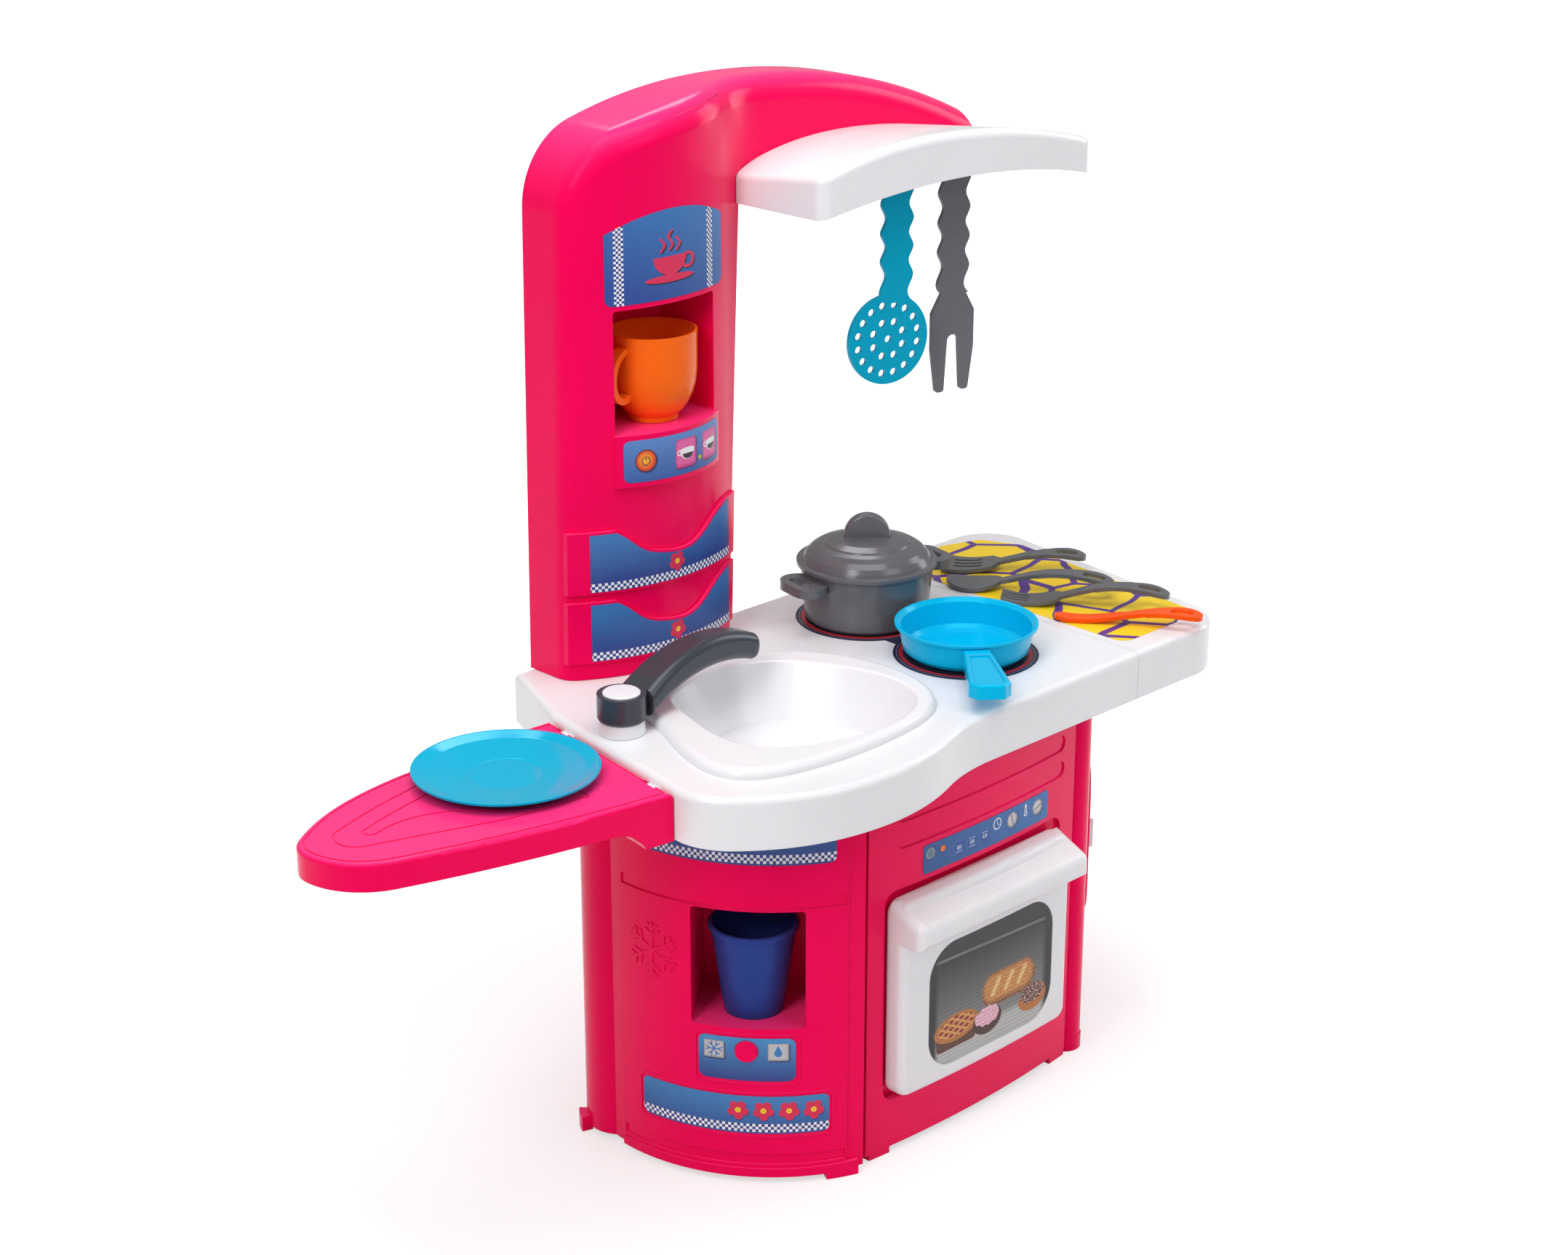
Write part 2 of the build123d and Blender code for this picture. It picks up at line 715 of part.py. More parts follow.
def oven_door():
    door = door_shape()
    hollow = door_slab(wall, door_back_y + 10)
    hollow += ledge_block(wall, door_front_y + 12)
    door -= hollow
    window_z = window_bottom_z + window_height / 2
    plane = front_plane(door_centre_x + window_offset_x, door_front_y + window_recess + wall,
                        window_z)
    backing = RectangleRounded(window_width + 6, window_height + 6, window_corner + 3)
    door += through(plane, backing, wall - 0.4, 0)
    opening = RectangleRounded(window_width, window_height, window_corner)
    door -= through(plane, opening, 30, -wall)
    for x in lug_centres:
        slot_width = door_lug_width + 1.2
        door -= Pos(x, door_hinge_y + 5, door_bottom_z) * Box(slot_width, 21, 8)
    for side in (-1, 1):
        start = door_centre_x + side * (door_width / 2 - wall + 0.5)
        end = door_centre_x + side * (door_width / 2 - door_lug_inset - 5)
        pin = Cylinder(door_pin_radius, abs(end - start))
        door += Pos((start + end) / 2, door_hinge_y, door_hinge_z) * Rot(0, 90, 0) * pin
    return door


def oven_window_print():
    plane = front_plane(door_centre_x + window_offset_x,
                        door_front_y + window_recess - sticker_gap,
                        window_bottom_z + window_height / 2)
    sketch = RectangleRounded(window_width - 0.8, window_height - 0.8, window_corner - 0.4)
    return through(plane, sketch, sticker_thickness, 0)


def oven_control_sticker():
    plane = front_plane(oven_sticker_x, 0, oven_sticker_z)
    layer = prism(oven_layer(-sticker_gap, -sticker_gap - sticker_thickness),
                  oven_sticker_z - 40, oven_sticker_z + 40)
    sketch = RectangleRounded(oven_sticker_width, oven_sticker_height, 3)
    return through(plane, sketch, 220, 0) & layer


# ---------------------------------------------------------------- back panel, deck, screws
hob_wall_y = hob_back_y - wall - 3.5


def wall_y(x):
    """The outer face of the back wall, which steps forwards behind the hob."""
    return back_wall_y if x < step_x else hob_wall_y


def back_panel():
    """The back wall, returned forwards at both sides to meet the curved panels."""
    left = polar(fridge_column_centre, fridge_column_radius, 131.0)
    right = polar(washer_centre, washer_radius - pilaster_step,
                  washer_last_angle + pilaster_angle + 0.3)
    slant = back_wall_y - hob_wall_y
    outer = [left, (left_back_x, back_wall_y), (step_x, back_wall_y),
             (step_x + slant, hob_wall_y), (right_back_x, hob_wall_y),
             (right_back_x, right[1] + 8), (right[0], right[1])]
    inner = [(right[0] - wall, right[1] + 0.4), (right_back_x - wall, right[1] + 9),
             (right_back_x - wall, hob_wall_y - wall),
             (step_x + slant - wall * 0.42, hob_wall_y - wall),
             (step_x - wall * 0.42, back_wall_y - wall),
             (left_back_x + 1.2, back_wall_y - wall), (left[0] + 2.0, left[1] - 2.4)]
    panel = prism(make_face(Polyline(*(outer + inner), close=True)), 0, panel_top_z)
    bore = screw_radius + screw_clearance
    for x in screw_x:
        for z in screw_z:
            seat = Pos(x, wall_y(x), z) * Rot(90, 0, 0)
            panel += seat * Pos(0, 0, wall / 2 + 6.0) * Cylinder(4.5, wall + 12.0)
            panel -= seat * Cylinder(bore, 60)
    return panel


def back_screws():
    """Domed screws through the back wall."""
    group = []
    for x in screw_x:
        for z in screw_z:
            shank = Pos(0, 0, -5.5) * Cylinder(screw_radius, 12)
            head = Pos(0, 0, 1.0) * Cylinder(screw_head_radius, 1.8)
            screw = shank + head - Pos(0, 0, 1.9) * Box(4.6, 1.0, 1.2)
            screw -= Pos(0, 0, 1.9) * Box(1.0, 4.6, 1.2)
            group.append(Pos(x, wall_y(x), z) * Rot(-90, 0, 0) * screw)
    return Compound(children=group)


def base_deck():
    """The cabinet floor inside the walls."""
    inset = wall + pilaster_step + relief_depth + 0.6
    deck = Pos(*fridge_centre) * Circle(fridge_radius - inset)
    deck += Pos(*washer_centre) * Circle(washer_radius - inset)
    deck += Pos(90, 60) * Rectangle(200, 260)
    gap = wall + seam_gap
    slant = back_wall_y - hob_wall_y
    bounds = Polyline((-140, 40), (left_back_x + 3, back_wall_y - gap),
                      (step_x - wall, back_wall_y - gap),
                      (step_x - wall + slant, hob_wall_y - gap),
                      (right_back_x - wall - 1, hob_wall_y - gap),
                      (right_back_x - wall - 8, 30), (300, -80), (215, oven_right[1] + 8),
                      (-30, oven_right[1] + 8), (-110, -110), close=True)
    return prism(deck & make_face(bounds), deck_height, deck_height + wall)


# ---------------------------------------------------------------- worktop
def bend(start, first, last, chord):
    """An arc that turns from one heading to another, and the point where it ends."""
    middle = math.radians((first + last) / 2)
    end = (start[0] + chord * math.cos(middle), start[1] + chord * math.sin(middle))
    heading = math.radians(first)
    return TangentArc(start, end, tangent=(math.cos(heading), math.sin(heading))), end


def bulge_outline():
    """The worktop's plan, from the back left corner round the sink to the seam."""
    hinge_back = (-154.0, 90.0)
    hinge_front = (-183.0, -84.0)
    heading = math.degrees(math.atan2(hinge_front[1] - hinge_back[1],
                                      hinge_front[0] - hinge_back[0]))
    corner, corner_end = bend(hinge_front, heading, -45.0, 48.0)
    flank, flank_end = bend(corner_end, -45.0, -14.0, 90.0)
    nose, nose_end = bend(flank_end, -14.0, 22.0, 125.0)
    run = (worktop_front_y - nose_end[1]) / math.sin(math.radians(11.0))
    blend, blend_end = bend(nose_end, 22.0, 0.0, run)
    rim = Polyline(blend_end, (worktop_seam_x, worktop_front_y), (worktop_seam_x, hob_back_y),
                   (110.0, hob_back_y), (90.0, worktop_back_y), (-118.0, worktop_back_y),
                   hinge_back, hinge_front)
    return outline(corner, flank, nose, blend, *rim.edges())


def basin_outline(share):
    """The basin's plan, a rounded triangle of sorts, scaled about the basin's centre."""
    points = [(-72.0, 37.0), (-39.0, 50.0), (3.0, 52.0), (37.0, 36.0), (62.0, 2.0),
              (79.0, -45.0), (72.0, -92.0), (40.0, -119.0), (-14.0, -125.0), (-61.0, -113.0),
              (-97.0, -84.0), (-102.0, -42.0), (-90.0, 4.0)]
    cx, cy = sink_centre
    placed = [(cx + share * (x - cx), cy + share * (y - cy)) for x, y in points]
    return make_face(Spline(*placed, periodic=True))


def rim_outline():
    points = [(-105.0, 45.0), (-131.0, -28.0), (-143.0, -62.0), (-146.0, -88.0),
              (-138.0, -110.0), (-119.0, -124.0), (-89.0, -133.0), (-50.0, -138.0),
              (-5.0, -137.5), (40.0, -131.0), (76.0, -113.0), (96.0, -80.0), (97.0, -10.0),
              (60.0, 52.0), (0.0, 78.0), (-62.0, 74.0)]
    return make_face(Spline(*points, periodic=True))


def table_plane(z):
    """The side table's plan: local X away from the worktop, local Y along the hinge edge."""
    a = math.radians(180.0 - table_turn)
    return Plane(origin=(table_origin[0], table_origin[1], z),
                 x_dir=(math.cos(a), math.sin(a), 0), z_dir=(0, 0, -1))


def table_section(offset):
    """A plane across the hinge: local X away from the worktop, local Y up."""
    plan = table_plane(0)
    return Plane(origin=plan.origin + plan.y_dir * offset, x_dir=plan.x_dir, z_dir=plan.y_dir)


hinge_reach = seam_gap + table_barrel
hinge_z = table_top_z - table_barrel


def table_lug(offset):
    """A hook on the worktop's side that carries the side table's pin."""
    shape = Pos(hinge_reach, hinge_z) * Circle(table_hook_radius)
    shape += Pos(hinge_reach / 2 - 1, hinge_z) * Rectangle(hinge_reach + 2, table_hook_arm)
    shape -= Pos(hinge_reach, hinge_z) * Circle(table_pin_radius + running_clearance)
    plane = table_section(offset - table_lug_width / 2)
    return extrude(plane * shape, table_lug_width, dir=plane.z_dir)


def open_seam(inner, middle_x):
    """The hollow under a worktop, run out through the open seam side."""
    depth = hob_back_y - worktop_front_y - 2 * wall
    gap = Pos(middle_x, worktop_front_y + wall + depth / 2) * Rectangle(12.0, depth)
    return inner + gap


def worktop():
    face = bulge_outline()
    low = worktop_top - worktop_skirt
    block = prism(face, low, worktop_top)
    top = block.edges().filter_by(lambda e: e.center().Z > worktop_top - 0.1
                                  and e.center().X < worktop_seam_x - 0.1)
    block = fillet(top, worktop_edge_radius)
    rim = prism(rim_outline(), worktop_top - 1, worktop_top + sink_rim_height)
    rim = fillet(rim.edges().filter_by(lambda e: e.center().Z > worktop_top + 1),
                 sink_rim_height - 1)
    inner = open_seam(inset_face(face, wall), worktop_seam_x)
    block = block + rim - prism(inner, low - 1, worktop_top - wall)
    rim_top = worktop_top + sink_rim_height
    bowl = loft([Pos(0, 0, worktop_top - sink_depth) * basin_outline(sink_floor_share),
                 Pos(0, 0, rim_top) * basin_outline(1.0)])
    shell = loft([Pos(0, 0, worktop_top - sink_depth - wall) * basin_outline(sink_floor_share + 0.04),
                  Pos(0, 0, worktop_top - 1) * basin_outline(1.04)])
    block = block + shell - bowl
    lips = block.edges().filter_by(lambda e: e.center().Z > rim_top - 0.1)
    block = fillet(lips.sort_by(SortBy.LENGTH)[0:1], 2.5)
    for offset_t in table_lug_offsets:
        block += table_lug(offset_t)
    x, y = tap_position
    block -= Pos(x, y, worktop_top) * Cylinder(tap_pivot_radius + 2, 30)
    return block


def extension_outline():
    return outline(
        Line((worktop_seam_x + seam_gap, hob_back_y), (worktop_seam_x + seam_gap,
                                                       worktop_front_y)),
        Line((worktop_seam_x + seam_gap, worktop_front_y), (356.0, worktop_front_y)),
        ThreePointArc((356.0, worktop_front_y), (393.0, -143.0), (412.0, -111.0)),
        Line((412.0, -111.0), (extension_right_x, 100.0)),
        ThreePointArc((extension_right_x, 100.0), (extension_right_x - 8, 142.0),
                      (396.0, hob_back_y)),
        Line((396.0, hob_back_y), (worktop_seam_x + seam_gap, hob_back_y)))


def worktop_extension():
    face = extension_outline()
    low = worktop_top - worktop_skirt
    block = prism(face, low, worktop_top)
    top = block.edges().filter_by(lambda e: e.center().Z > worktop_top - 0.1
                                  and e.center().X > worktop_seam_x + 1)
    block = fillet(top, worktop_edge_radius)
    inner = open_seam(inset_face(face, wall), worktop_seam_x + seam_gap)
    return block - prism(inner, low - 1, worktop_top - wall)


def extension_sticker():
    corners = [(292.0, -130.0), (362.0, -130.0), (396.0, -118.0), (421.0, 96.0),
               (404.0, 134.0), (366.0, 146.0), (292.0, 146.0)]
    face = make_face(Polyline(*corners, close=True))
    face = fillet(face.vertices(), sticker_corner_radius)
    low = worktop_top + sticker_gap
    return prism(face, low, low + sticker_thickness)


def hob_sticker():
    """Two round hotplates joined by a strip."""
    face = Pos(*pot_position) * Circle(hob_radius) + Pos(*pan_position) * Circle(hob_radius)
    middle = ((pot_position[0] + pan_position[0]) / 2, (pot_position[1] + pan_position[1]) / 2)
    face += Pos(*middle) * Rectangle(58, 60)
    low = worktop_top + sticker_gap
    return prism(face, low, low + sticker_thickness)


# ---------------------------------------------------------------- tap
def at_tap(part):
    return Pos(tap_position[0], tap_position[1], 0) * part


def tap_post():
    """The white base of the tap, bored for the spout's stem."""
    low = worktop_top + seam_gap
    top = worktop_top + tap_post_height
    post = turned([(tap_pivot_radius + running_clearance, low), (tap_post_radius, low),
                   (tap_post_radius - 0.8, top), (tap_pivot_radius + running_clearance, top)])
    return at_tap(post)


tap_ring_bottom = worktop_top + tap_post_height + seam_gap
tap_ring_top = tap_ring_bottom + tap_ring_height


def tap_spout():
    """The swivelling spout: a collar on a stem and a long arched arm."""
    low, top = tap_ring_bottom, tap_ring_top
    ring = turned([(0, worktop_top - 6), (tap_pivot_radius, worktop_top - 6),
                   (tap_pivot_radius, low), (tap_ring_radius - 1, low),
                   (tap_ring_radius, low + 2), (tap_ring_radius, top), (tap_cap_radius + 0.5, top),
                   (tap_cap_radius + 0.5, top - 2), (0, top - 2)])
    upper = ThreePointArc((17.0, top), (85.0, top + 21), (150.0, top + 8))
    tip = ThreePointArc((150.0, top + 8), (154.0, top - 3), (147.0, top - 14))
    lower = ThreePointArc((147.0, top - 14), (85.0, top - 3), (17.0, low))
    side = outline(upper, tip, lower, Line((17.0, low), (17.0, top)))
    plane = Plane(origin=(0, 2 * tap_ring_radius, 0), x_dir=(1, 0, 0), z_dir=(0, -1, 0))
    root, end = tap_ring_radius - 0.6, tap_arm_width / 2
    plan = make_face(Polyline((0, -root), (160, -end), (160, end), (0, root), close=True))
    arm = extrude(plane * side, 4 * tap_ring_radius, dir=(0, -1, 0)) & prism(plan, 300, 500)
    arm = fillet(arm.edges().filter_by(lambda e: e.center().X > 20), tap_arm_edge_radius)
    return at_tap(Rot(0, 0, tap_arm_turn) * (ring + arm))


def tap_cap():
    low = tap_ring_top - 2 + sticker_gap
    return at_tap(turned([(0, low), (tap_cap_radius, low), (tap_cap_radius, low + 2.6),
                          (tap_cap_radius - 1, low + 3.4), (0, low + 3.8)]))


# ---------------------------------------------------------------- side table
def table_outline():
    """The side table's plan: square at the hinge, a slanted round end."""
    front = ThreePointArc((seam_gap, -88.5), (125.0, -84.5), (225.0, -71.5))
    edges = [front]
    for corner in ((272.5, -24.0), (264.0, 3.0), (200.0, 46.0), (140.0, 64.6), (seam_gap, 87.0)):
        edges.append(TangentArc(edges[-1] @ 1, corner, tangent=edges[-1] % 1))
    return outline(*edges, Line(edges[-1] @ 1, front @ 0))


def on_table(sketch, low, high):
    """A prism of a sketch in the side table's plan between two heights."""
    return extrude(table_plane(high) * sketch, high - low, dir=(0, 0, -1))


def loop_face(tip, front, back):
    """A long leaf inside the side table's outline, its tip rounded."""
    far = ThreePointArc((back[0], back[1]), (back[0] + 70.0, back[1] - 16.0), (tip[0], tip[1]))
    end = TangentArc(far @ 1, (tip[0] - 6.0, front[1] + 19.0), tangent=far % 1)
    near = TangentArc(end @ 1, (front[0] + 70.0, front[1]), tangent=end % 1)
    root = Polyline(tuple(near @ 1)[:2], front, back)
    return outline(far, end, near, *root.edges())


def table_lines():
    """The groove lines on the side table's top: two leaves and a border."""
    border = inset_face(table_outline(), table_border)
    lines = border - inset_face(table_outline(), table_border + table_groove)
    for leaf in (loop_face((236.0, -2.0), (53.0, -56.5), (62.0, 58.0)),
                 loop_face((219.0, -11.0), (53.0, -41.5), (62.0, 40.0))):
        lines += leaf - inset_face(leaf, table_groove)
    return lines


def side_table():
    face = table_outline()
    low = table_top_z - table_skirt
    table = on_table(face, low, table_top_z)
    rim = table.edges().filter_by(lambda e: e.center().Z > table_top_z - 0.1)
    rim = rim.sort_by_distance((table_origin[0], table_origin[1], table_top_z))[1:]
    table = fillet(rim, 3.0)
    reach = table_root_length + table_root_sweep
    root = Pos(reach / 2 + seam_gap, -2.0) * Rectangle(reach, 180.0)
    root &= face
    sweep = table_section(-110.0)
    tunnel = sweep * (Pos(reach + seam_gap, low - table_root_sweep) * Circle(table_root_sweep))
    table += on_table(root, table_top_z - table_root_skirt, low + 1) - extrude(
        tunnel, 220.0, dir=sweep.z_dir)
    round_cut = Rectangle(2 * table_barrel, 2 * table_barrel) - Pos(
        table_barrel, -table_barrel) * Circle(table_barrel)
    corner = Rectangle(table_barrel, table_barrel, align=(Align.MIN, Align.MAX))
    section = table_section(-110.0)
    cut = section * (Pos(seam_gap, table_top_z) * (round_cut & corner))
    table -= extrude(cut, 220.0, dir=section.z_dir)
    inner = inset_face(face, wall)
    root_bar = Rectangle(2 * (hinge_reach + 8), 300)
    table -= on_table(inner - root_bar, low - 1, table_top_z - wall)
    inner_root = Pos(table_root_length / 2 + seam_gap, -2.0) * Rectangle(
        table_root_length - 2 * wall, 180.0 - 2 * wall)
    table -= on_table(inner_root & inner, table_top_z - table_root_skirt - 1, low - 1)
    for place in table_lug_offsets:
        table = table - table_slot(place) + table_pin(place)
    return table - on_table(table_lines(), table_top_z - table_groove_depth, table_top_z + 1)


def table_slot(place):
    """The slot in the table's root that one hook of the worktop reaches into."""
    width = table_lug_width + 1.2
    length = hinge_reach + table_hook_radius + 0.6
    sketch = Pos(length / 2, place) * Rectangle(length, width)
    slot = on_table(sketch, hinge_z - table_hook_radius - 0.6, hinge_z + table_hook_radius + 0.4)
    mouth = hinge_reach + 0.5
    return slot + on_table(Pos(mouth / 2, place) * Rectangle(mouth, width),
                           hinge_z, table_top_z + 1)


def table_pin(place):
    """The moulded pin across a slot that turns in the worktop's hook."""
    section = table_section(place - table_lug_width / 2 - 2)
    return extrude(section * (Pos(hinge_reach, hinge_z) * Circle(table_pin_radius)),
                   table_lug_width + 4, dir=section.z_dir)


def plate():
    rim = plate_radius
    profile = [(0, 0), (34, 0), (36, 0.6), (rim - 10, 3.6), (rim, plate_height - 1.6),
               (rim, plate_height), (rim - 1.5, plate_height), (rim - 11, 6.4), (36, 3.4),
               (29, 2.6), (27, 2.0), (0, 2.0)]
    a = math.radians(180.0 - table_turn)
    x = table_origin[0] + plate_offset * math.cos(a)
    y = table_origin[1] + plate_offset * math.sin(a) + 11.0
    return Pos(x, y, table_top_z + seam_gap) * turned(profile)


# ---------------------------------------------------------------- tower
def tower_right_x(z):
    """The tower's right side at a height."""
    share = (z - worktop_top) / (hood_bottom_z - worktop_top)
    return tower_right_bottom_x + share * (tower_right_top_x - tower_right_bottom_x)


def beside(curve, distance, start, end, count):
    """A curve that runs beside another, at a distance to the right of its direction."""
    points = []
    for i in range(count + 1):
        share = start + (end - start) * i / count
        place, ahead = curve @ share, curve % share
        points.append((place.X + distance * ahead.Y, place.Y - distance * ahead.X))
    return Spline(*points, tangents=(curve % start, curve % end))


def displaced(arc, distance):
    """An arc moved to the right of its direction, about the same centre."""
    points = []
    for share in (0.0, 0.5, 1.0):
        place, ahead = arc @ share, arc % share
        points.append((place.X + distance * ahead.Y, place.Y - distance * ahead.X))
    return ThreePointArc(*points)


def tower_top(inset):
    """The rounded top of the tower and wing: three arcs that run into each other."""
    shoulder = TangentArc((tower_left_top_x, tower_shoulder_z), (-45.0, 809.0),
                          tangent=(0.016, 1.0))
    crown = TangentArc(shoulder @ 1, (70.0, 827.0), tangent=shoulder % 1)
    wing = TangentArc(crown @ 1, (372.0, 767.0), tangent=crown % 1)
    if inset == 0:
        return [shoulder, crown, wing]
    return [displaced(arc, inset) for arc in (shoulder, crown, wing)]


def wing_underside():
    return Spline((386.0, 738.0), (334.0, 748.0), (222.0, 756.0), (130.0, 750.0),
                  (tower_right_x(hood_bottom_z), hood_bottom_z))


def tower_profile():
    """The front view of the tower and its wing."""
    foot_z = worktop_top + seam_gap
    top, low = tower_top(0), wing_underside()
    rim = Polyline(tuple(low @ 1)[:2], (tower_right_bottom_x, foot_z),
                   (tower_left_bottom_x, foot_z), tuple(top[0] @ 0)[:2])
    return outline(*top, Line(top[-1] @ 1, low @ 0), low, *rim.edges())


def tower_hollow(inset):
    """The front view of the hollow inside the tower and wing, open below."""
    foot_z = worktop_top - inset
    top = tower_top(inset)
    trim = inset / 260.0
    low = beside(wing_underside(), inset, trim, 1.0 - trim, 6)
    knee_z = hood_bottom_z - 15.0
    rim = Polyline(tuple(low @ 1)[:2], (tower_right_x(knee_z) - inset, knee_z),
                   (tower_right_bottom_x - inset, foot_z), (tower_left_bottom_x + inset, foot_z),
                   tuple(top[0] @ 0)[:2])
    return outline(*top, Line(top[-1] @ 1, low @ 0), low, *rim.edges())


def tower_plan(inset):
    """The plan of the tower: its curved front, and the flat front of the wing."""
    radius = tower_radius - inset
    left = tower_left_bottom_x - 10
    wing = wing_front_y + inset
    front = tower_centre[1] - math.sqrt(radius ** 2 - (left - tower_centre[0]) ** 2)
    meet = tower_centre[0] + math.sqrt(radius ** 2 - (tower_centre[1] - wing) ** 2)
    nose = tower_centre[1] - radius
    arc = ThreePointArc((left, front), (tower_centre[0], nose), (meet, wing))
    rim = Polyline((meet, wing), (400.0, wing), (400.0, worktop_back_y),
                   (left, worktop_back_y), (left, front))
    plan = outline(arc, *rim.edges())
    kink = plan.vertices().sort_by_distance((meet, wing, 0))[0]
    return fillet(kink, tower_blend_radius)


def tower_prism(profile):
    """A front view drawn through the whole depth of the tower."""
    return extrude(front_plane(0, worktop_back_y, 0) * profile, 110.0, dir=(0, -1, 0))


def coffee_box(grow):
    """The coffee niche's hollow, or its outside when grown."""
    middle = ((coffee_left_x + coffee_right_x) / 2, (coffee_bottom_z + coffee_top_z) / 2)
    size = (coffee_right_x - coffee_left_x + 2 * grow, coffee_top_z - coffee_bottom_z + 2 * grow)
    plane = front_plane(middle[0], coffee_back_y + grow, middle[1])
    return through(plane, RectangleRounded(*size, 3.0 + grow), 110.0, 0)


def drawer_front(bottom):
    """One drawer-front relief, its top edge scooped for the fingers."""
    top = bottom + drawer_height
    dip = top - drawer_scoop
    scoop = Spline((-64.0, top), (-40.0, dip + 6), (-20.0, dip), (10.0, dip), (38.0, top - 8),
                   (58.0, top), tangents=((0.9, -0.45), (0.9, 0.3)))
    face = outline(
        Line((-120.0, bottom), (-120.0, top)), Line((-120.0, top), (-64.0, top)), scoop,
        Line((58.0, top), (90.0, top)), Line((90.0, top), (90.0, bottom)),
        Line((90.0, bottom), (-120.0, bottom)))
    band = prism(tower_ring(-1.0, drawer_step), bottom, top)
    return tower_prism(face) & band


def tower_ring(low, high):
    """The plan of a layer on the tower's curved front, between two offsets."""
    return ring_sector(tower_centre, tower_radius + low, tower_radius + high, -135.0, -55.0)


def control_bulge():
    """The coffee machine's control panel, which swells out below the niche."""
    centre = ((coffee_left_x + coffee_right_x) / 2 + 2, control_centre_y)
    disc = Pos(*centre) * Circle(control_radius)
    width = coffee_right_x - coffee_left_x + 8
    disc &= Pos(centre[0], centre[1] - control_radius + 30) * Rectangle(width, 70)
    return prism(disc, control_bottom_z, coffee_bottom_z)


def tower_front_shell():
    profile = tower_profile()
    body = tower_prism(profile) & prism(tower_plan(0), 300, 900)
    rim = body.edges().filter_by(lambda e: e.center().Z > tower_shoulder_z + 5
                                 and e.center().Y < worktop_back_y - 5
                                 and e.geom_type != GeomType.LINE)
    under = ShapeList(e for e in rim if e.center().X > 100 and e.center().Z < 757)
    body = fillet(ShapeList(e for e in rim if e not in under), tower_edge_radius)
    for bottom in drawer_bottoms:
        body += drawer_front(bottom) & tower_prism(profile)
    body += control_bulge()
    hollow = tower_prism(tower_hollow(tower_wall)) & prism(tower_plan(tower_wall), 300, 900)
    body -= hollow
    body += coffee_box(wall) & prism(tower_plan(1), 300, 900)
    return body - coffee_box(0)


def tower_back_cover():
    """The flat cover that closes the tower's open back."""
    profile = tower_hollow(tower_wall + seam_gap) & Pos(100, 620) * Rectangle(700, 515)
    cover = extrude(front_plane(0, worktop_back_y, 0) * profile, wall, dir=(0, -1, 0))
    return cover


def on_tower(sketch, x, z, low, high):
    """A front-view outline laid on the tower's curved front as a thin layer."""
    plane = front_plane(x, worktop_back_y - 20, z)
    return through(plane, sketch, 110.0, 0) & prism(tower_ring(low, high), z - 60, z + 60)


def coffee_sticker():
    arch = Pos(0, -100) * Circle(104 + coffee_sticker_height / 2)
    sketch = RectangleRounded(coffee_sticker_width, coffee_sticker_height + 8, 6)
    return on_tower(sketch & (Pos(0, -4) * arch), tower_centre[0] - 1.5,
                    coffee_sticker_bottom_z + coffee_sticker_height / 2 + 4,
                    sticker_gap, sticker_gap + sticker_thickness)


def coffee_control_sticker():
    height = coffee_bottom_z - control_bottom_z
    centre = ((coffee_left_x + coffee_right_x) / 2 + 2, control_centre_y)
    low = control_radius + sticker_gap
    sketch = RectangleRounded(control_sticker_width, height - 8, 5)
    return patch(centre, -90.0, control_bottom_z + height / 2, sketch,
                 low, low + sticker_thickness)


def drawer_sticker(bottom):
    """The printed front of one drawer, under its scooped edge."""
    top = bottom + drawer_height - 2
    dip = top - drawer_scoop
    scoop = Spline((-64.0, top), (-40.0, dip + 6), (-20.0, dip), (10.0, dip), (38.0, top - 8),
                   (58.0, top), tangents=((0.9, -0.45), (0.9, 0.3)))
    low = bottom + 2
    face = outline(
        Line((-84.0, low), (-84.0, top)), Line((-84.0, top), (-64.0, top)), scoop,
        Line((58.0, top), (62.0, top)), Line((62.0, top), (62.0, low)),
        Line((62.0, low), (-84.0, low)))
    start = drawer_step + sticker_gap
    band = prism(tower_ring(start, start + sticker_thickness), bottom, top + 1)
    return tower_prism(face) & band


# ---------------------------------------------------------------- hood
def hood_front_profile(inset):
    """The front view of the hood's roof line, over everything below it."""
    roof = Spline((hood_left[0] + inset, 769.0 - inset), (125.0, 781.0 - inset),
                  (205.0, 789.0 - inset), (270.0, 785.0 - inset), (320.0, 777.0 - inset),
                  (hood_right[0] - inset, 762.0 - inset))
    return outline(roof, Line(roof @ 1, (hood_right[0] - inset, 650.0)),
                   Line((hood_right[0] - inset, 650.0), (hood_left[0] + inset, 650.0)),
                   Line((hood_left[0] + inset, 650.0), roof @ 0))


def hood_plan(inset):
    middle = ((hood_left[0] + hood_right[0]) / 2,
              (hood_left[1] + hood_right[1]) / 2 - hood_bulge + inset)
    front = ThreePointArc((hood_left[0] + inset, hood_left[1] + inset), middle,
                          (hood_right[0] - inset, hood_right[1] + inset))
    rim = Polyline(tuple(front @ 1)[:2], (hood_right[0] - inset, hood_back_y - inset),
                   (hood_left[0] + inset, hood_back_y - inset), tuple(front @ 0)[:2])
    return outline(front, *rim.edges())


def hood_block(inset):
    """The hood's outside, or its hollow when inset; the roof falls towards the back."""
    front_y = -20.0
    plane = front_plane(0, front_y, 0)
    length = hood_back_y - front_y + 5
    roof = extrude(plane * hood_front_profile(inset), length,
                   dir=(0, 1, -hood_top_slope))
    return roof & prism(hood_plan(inset), 700, 900)


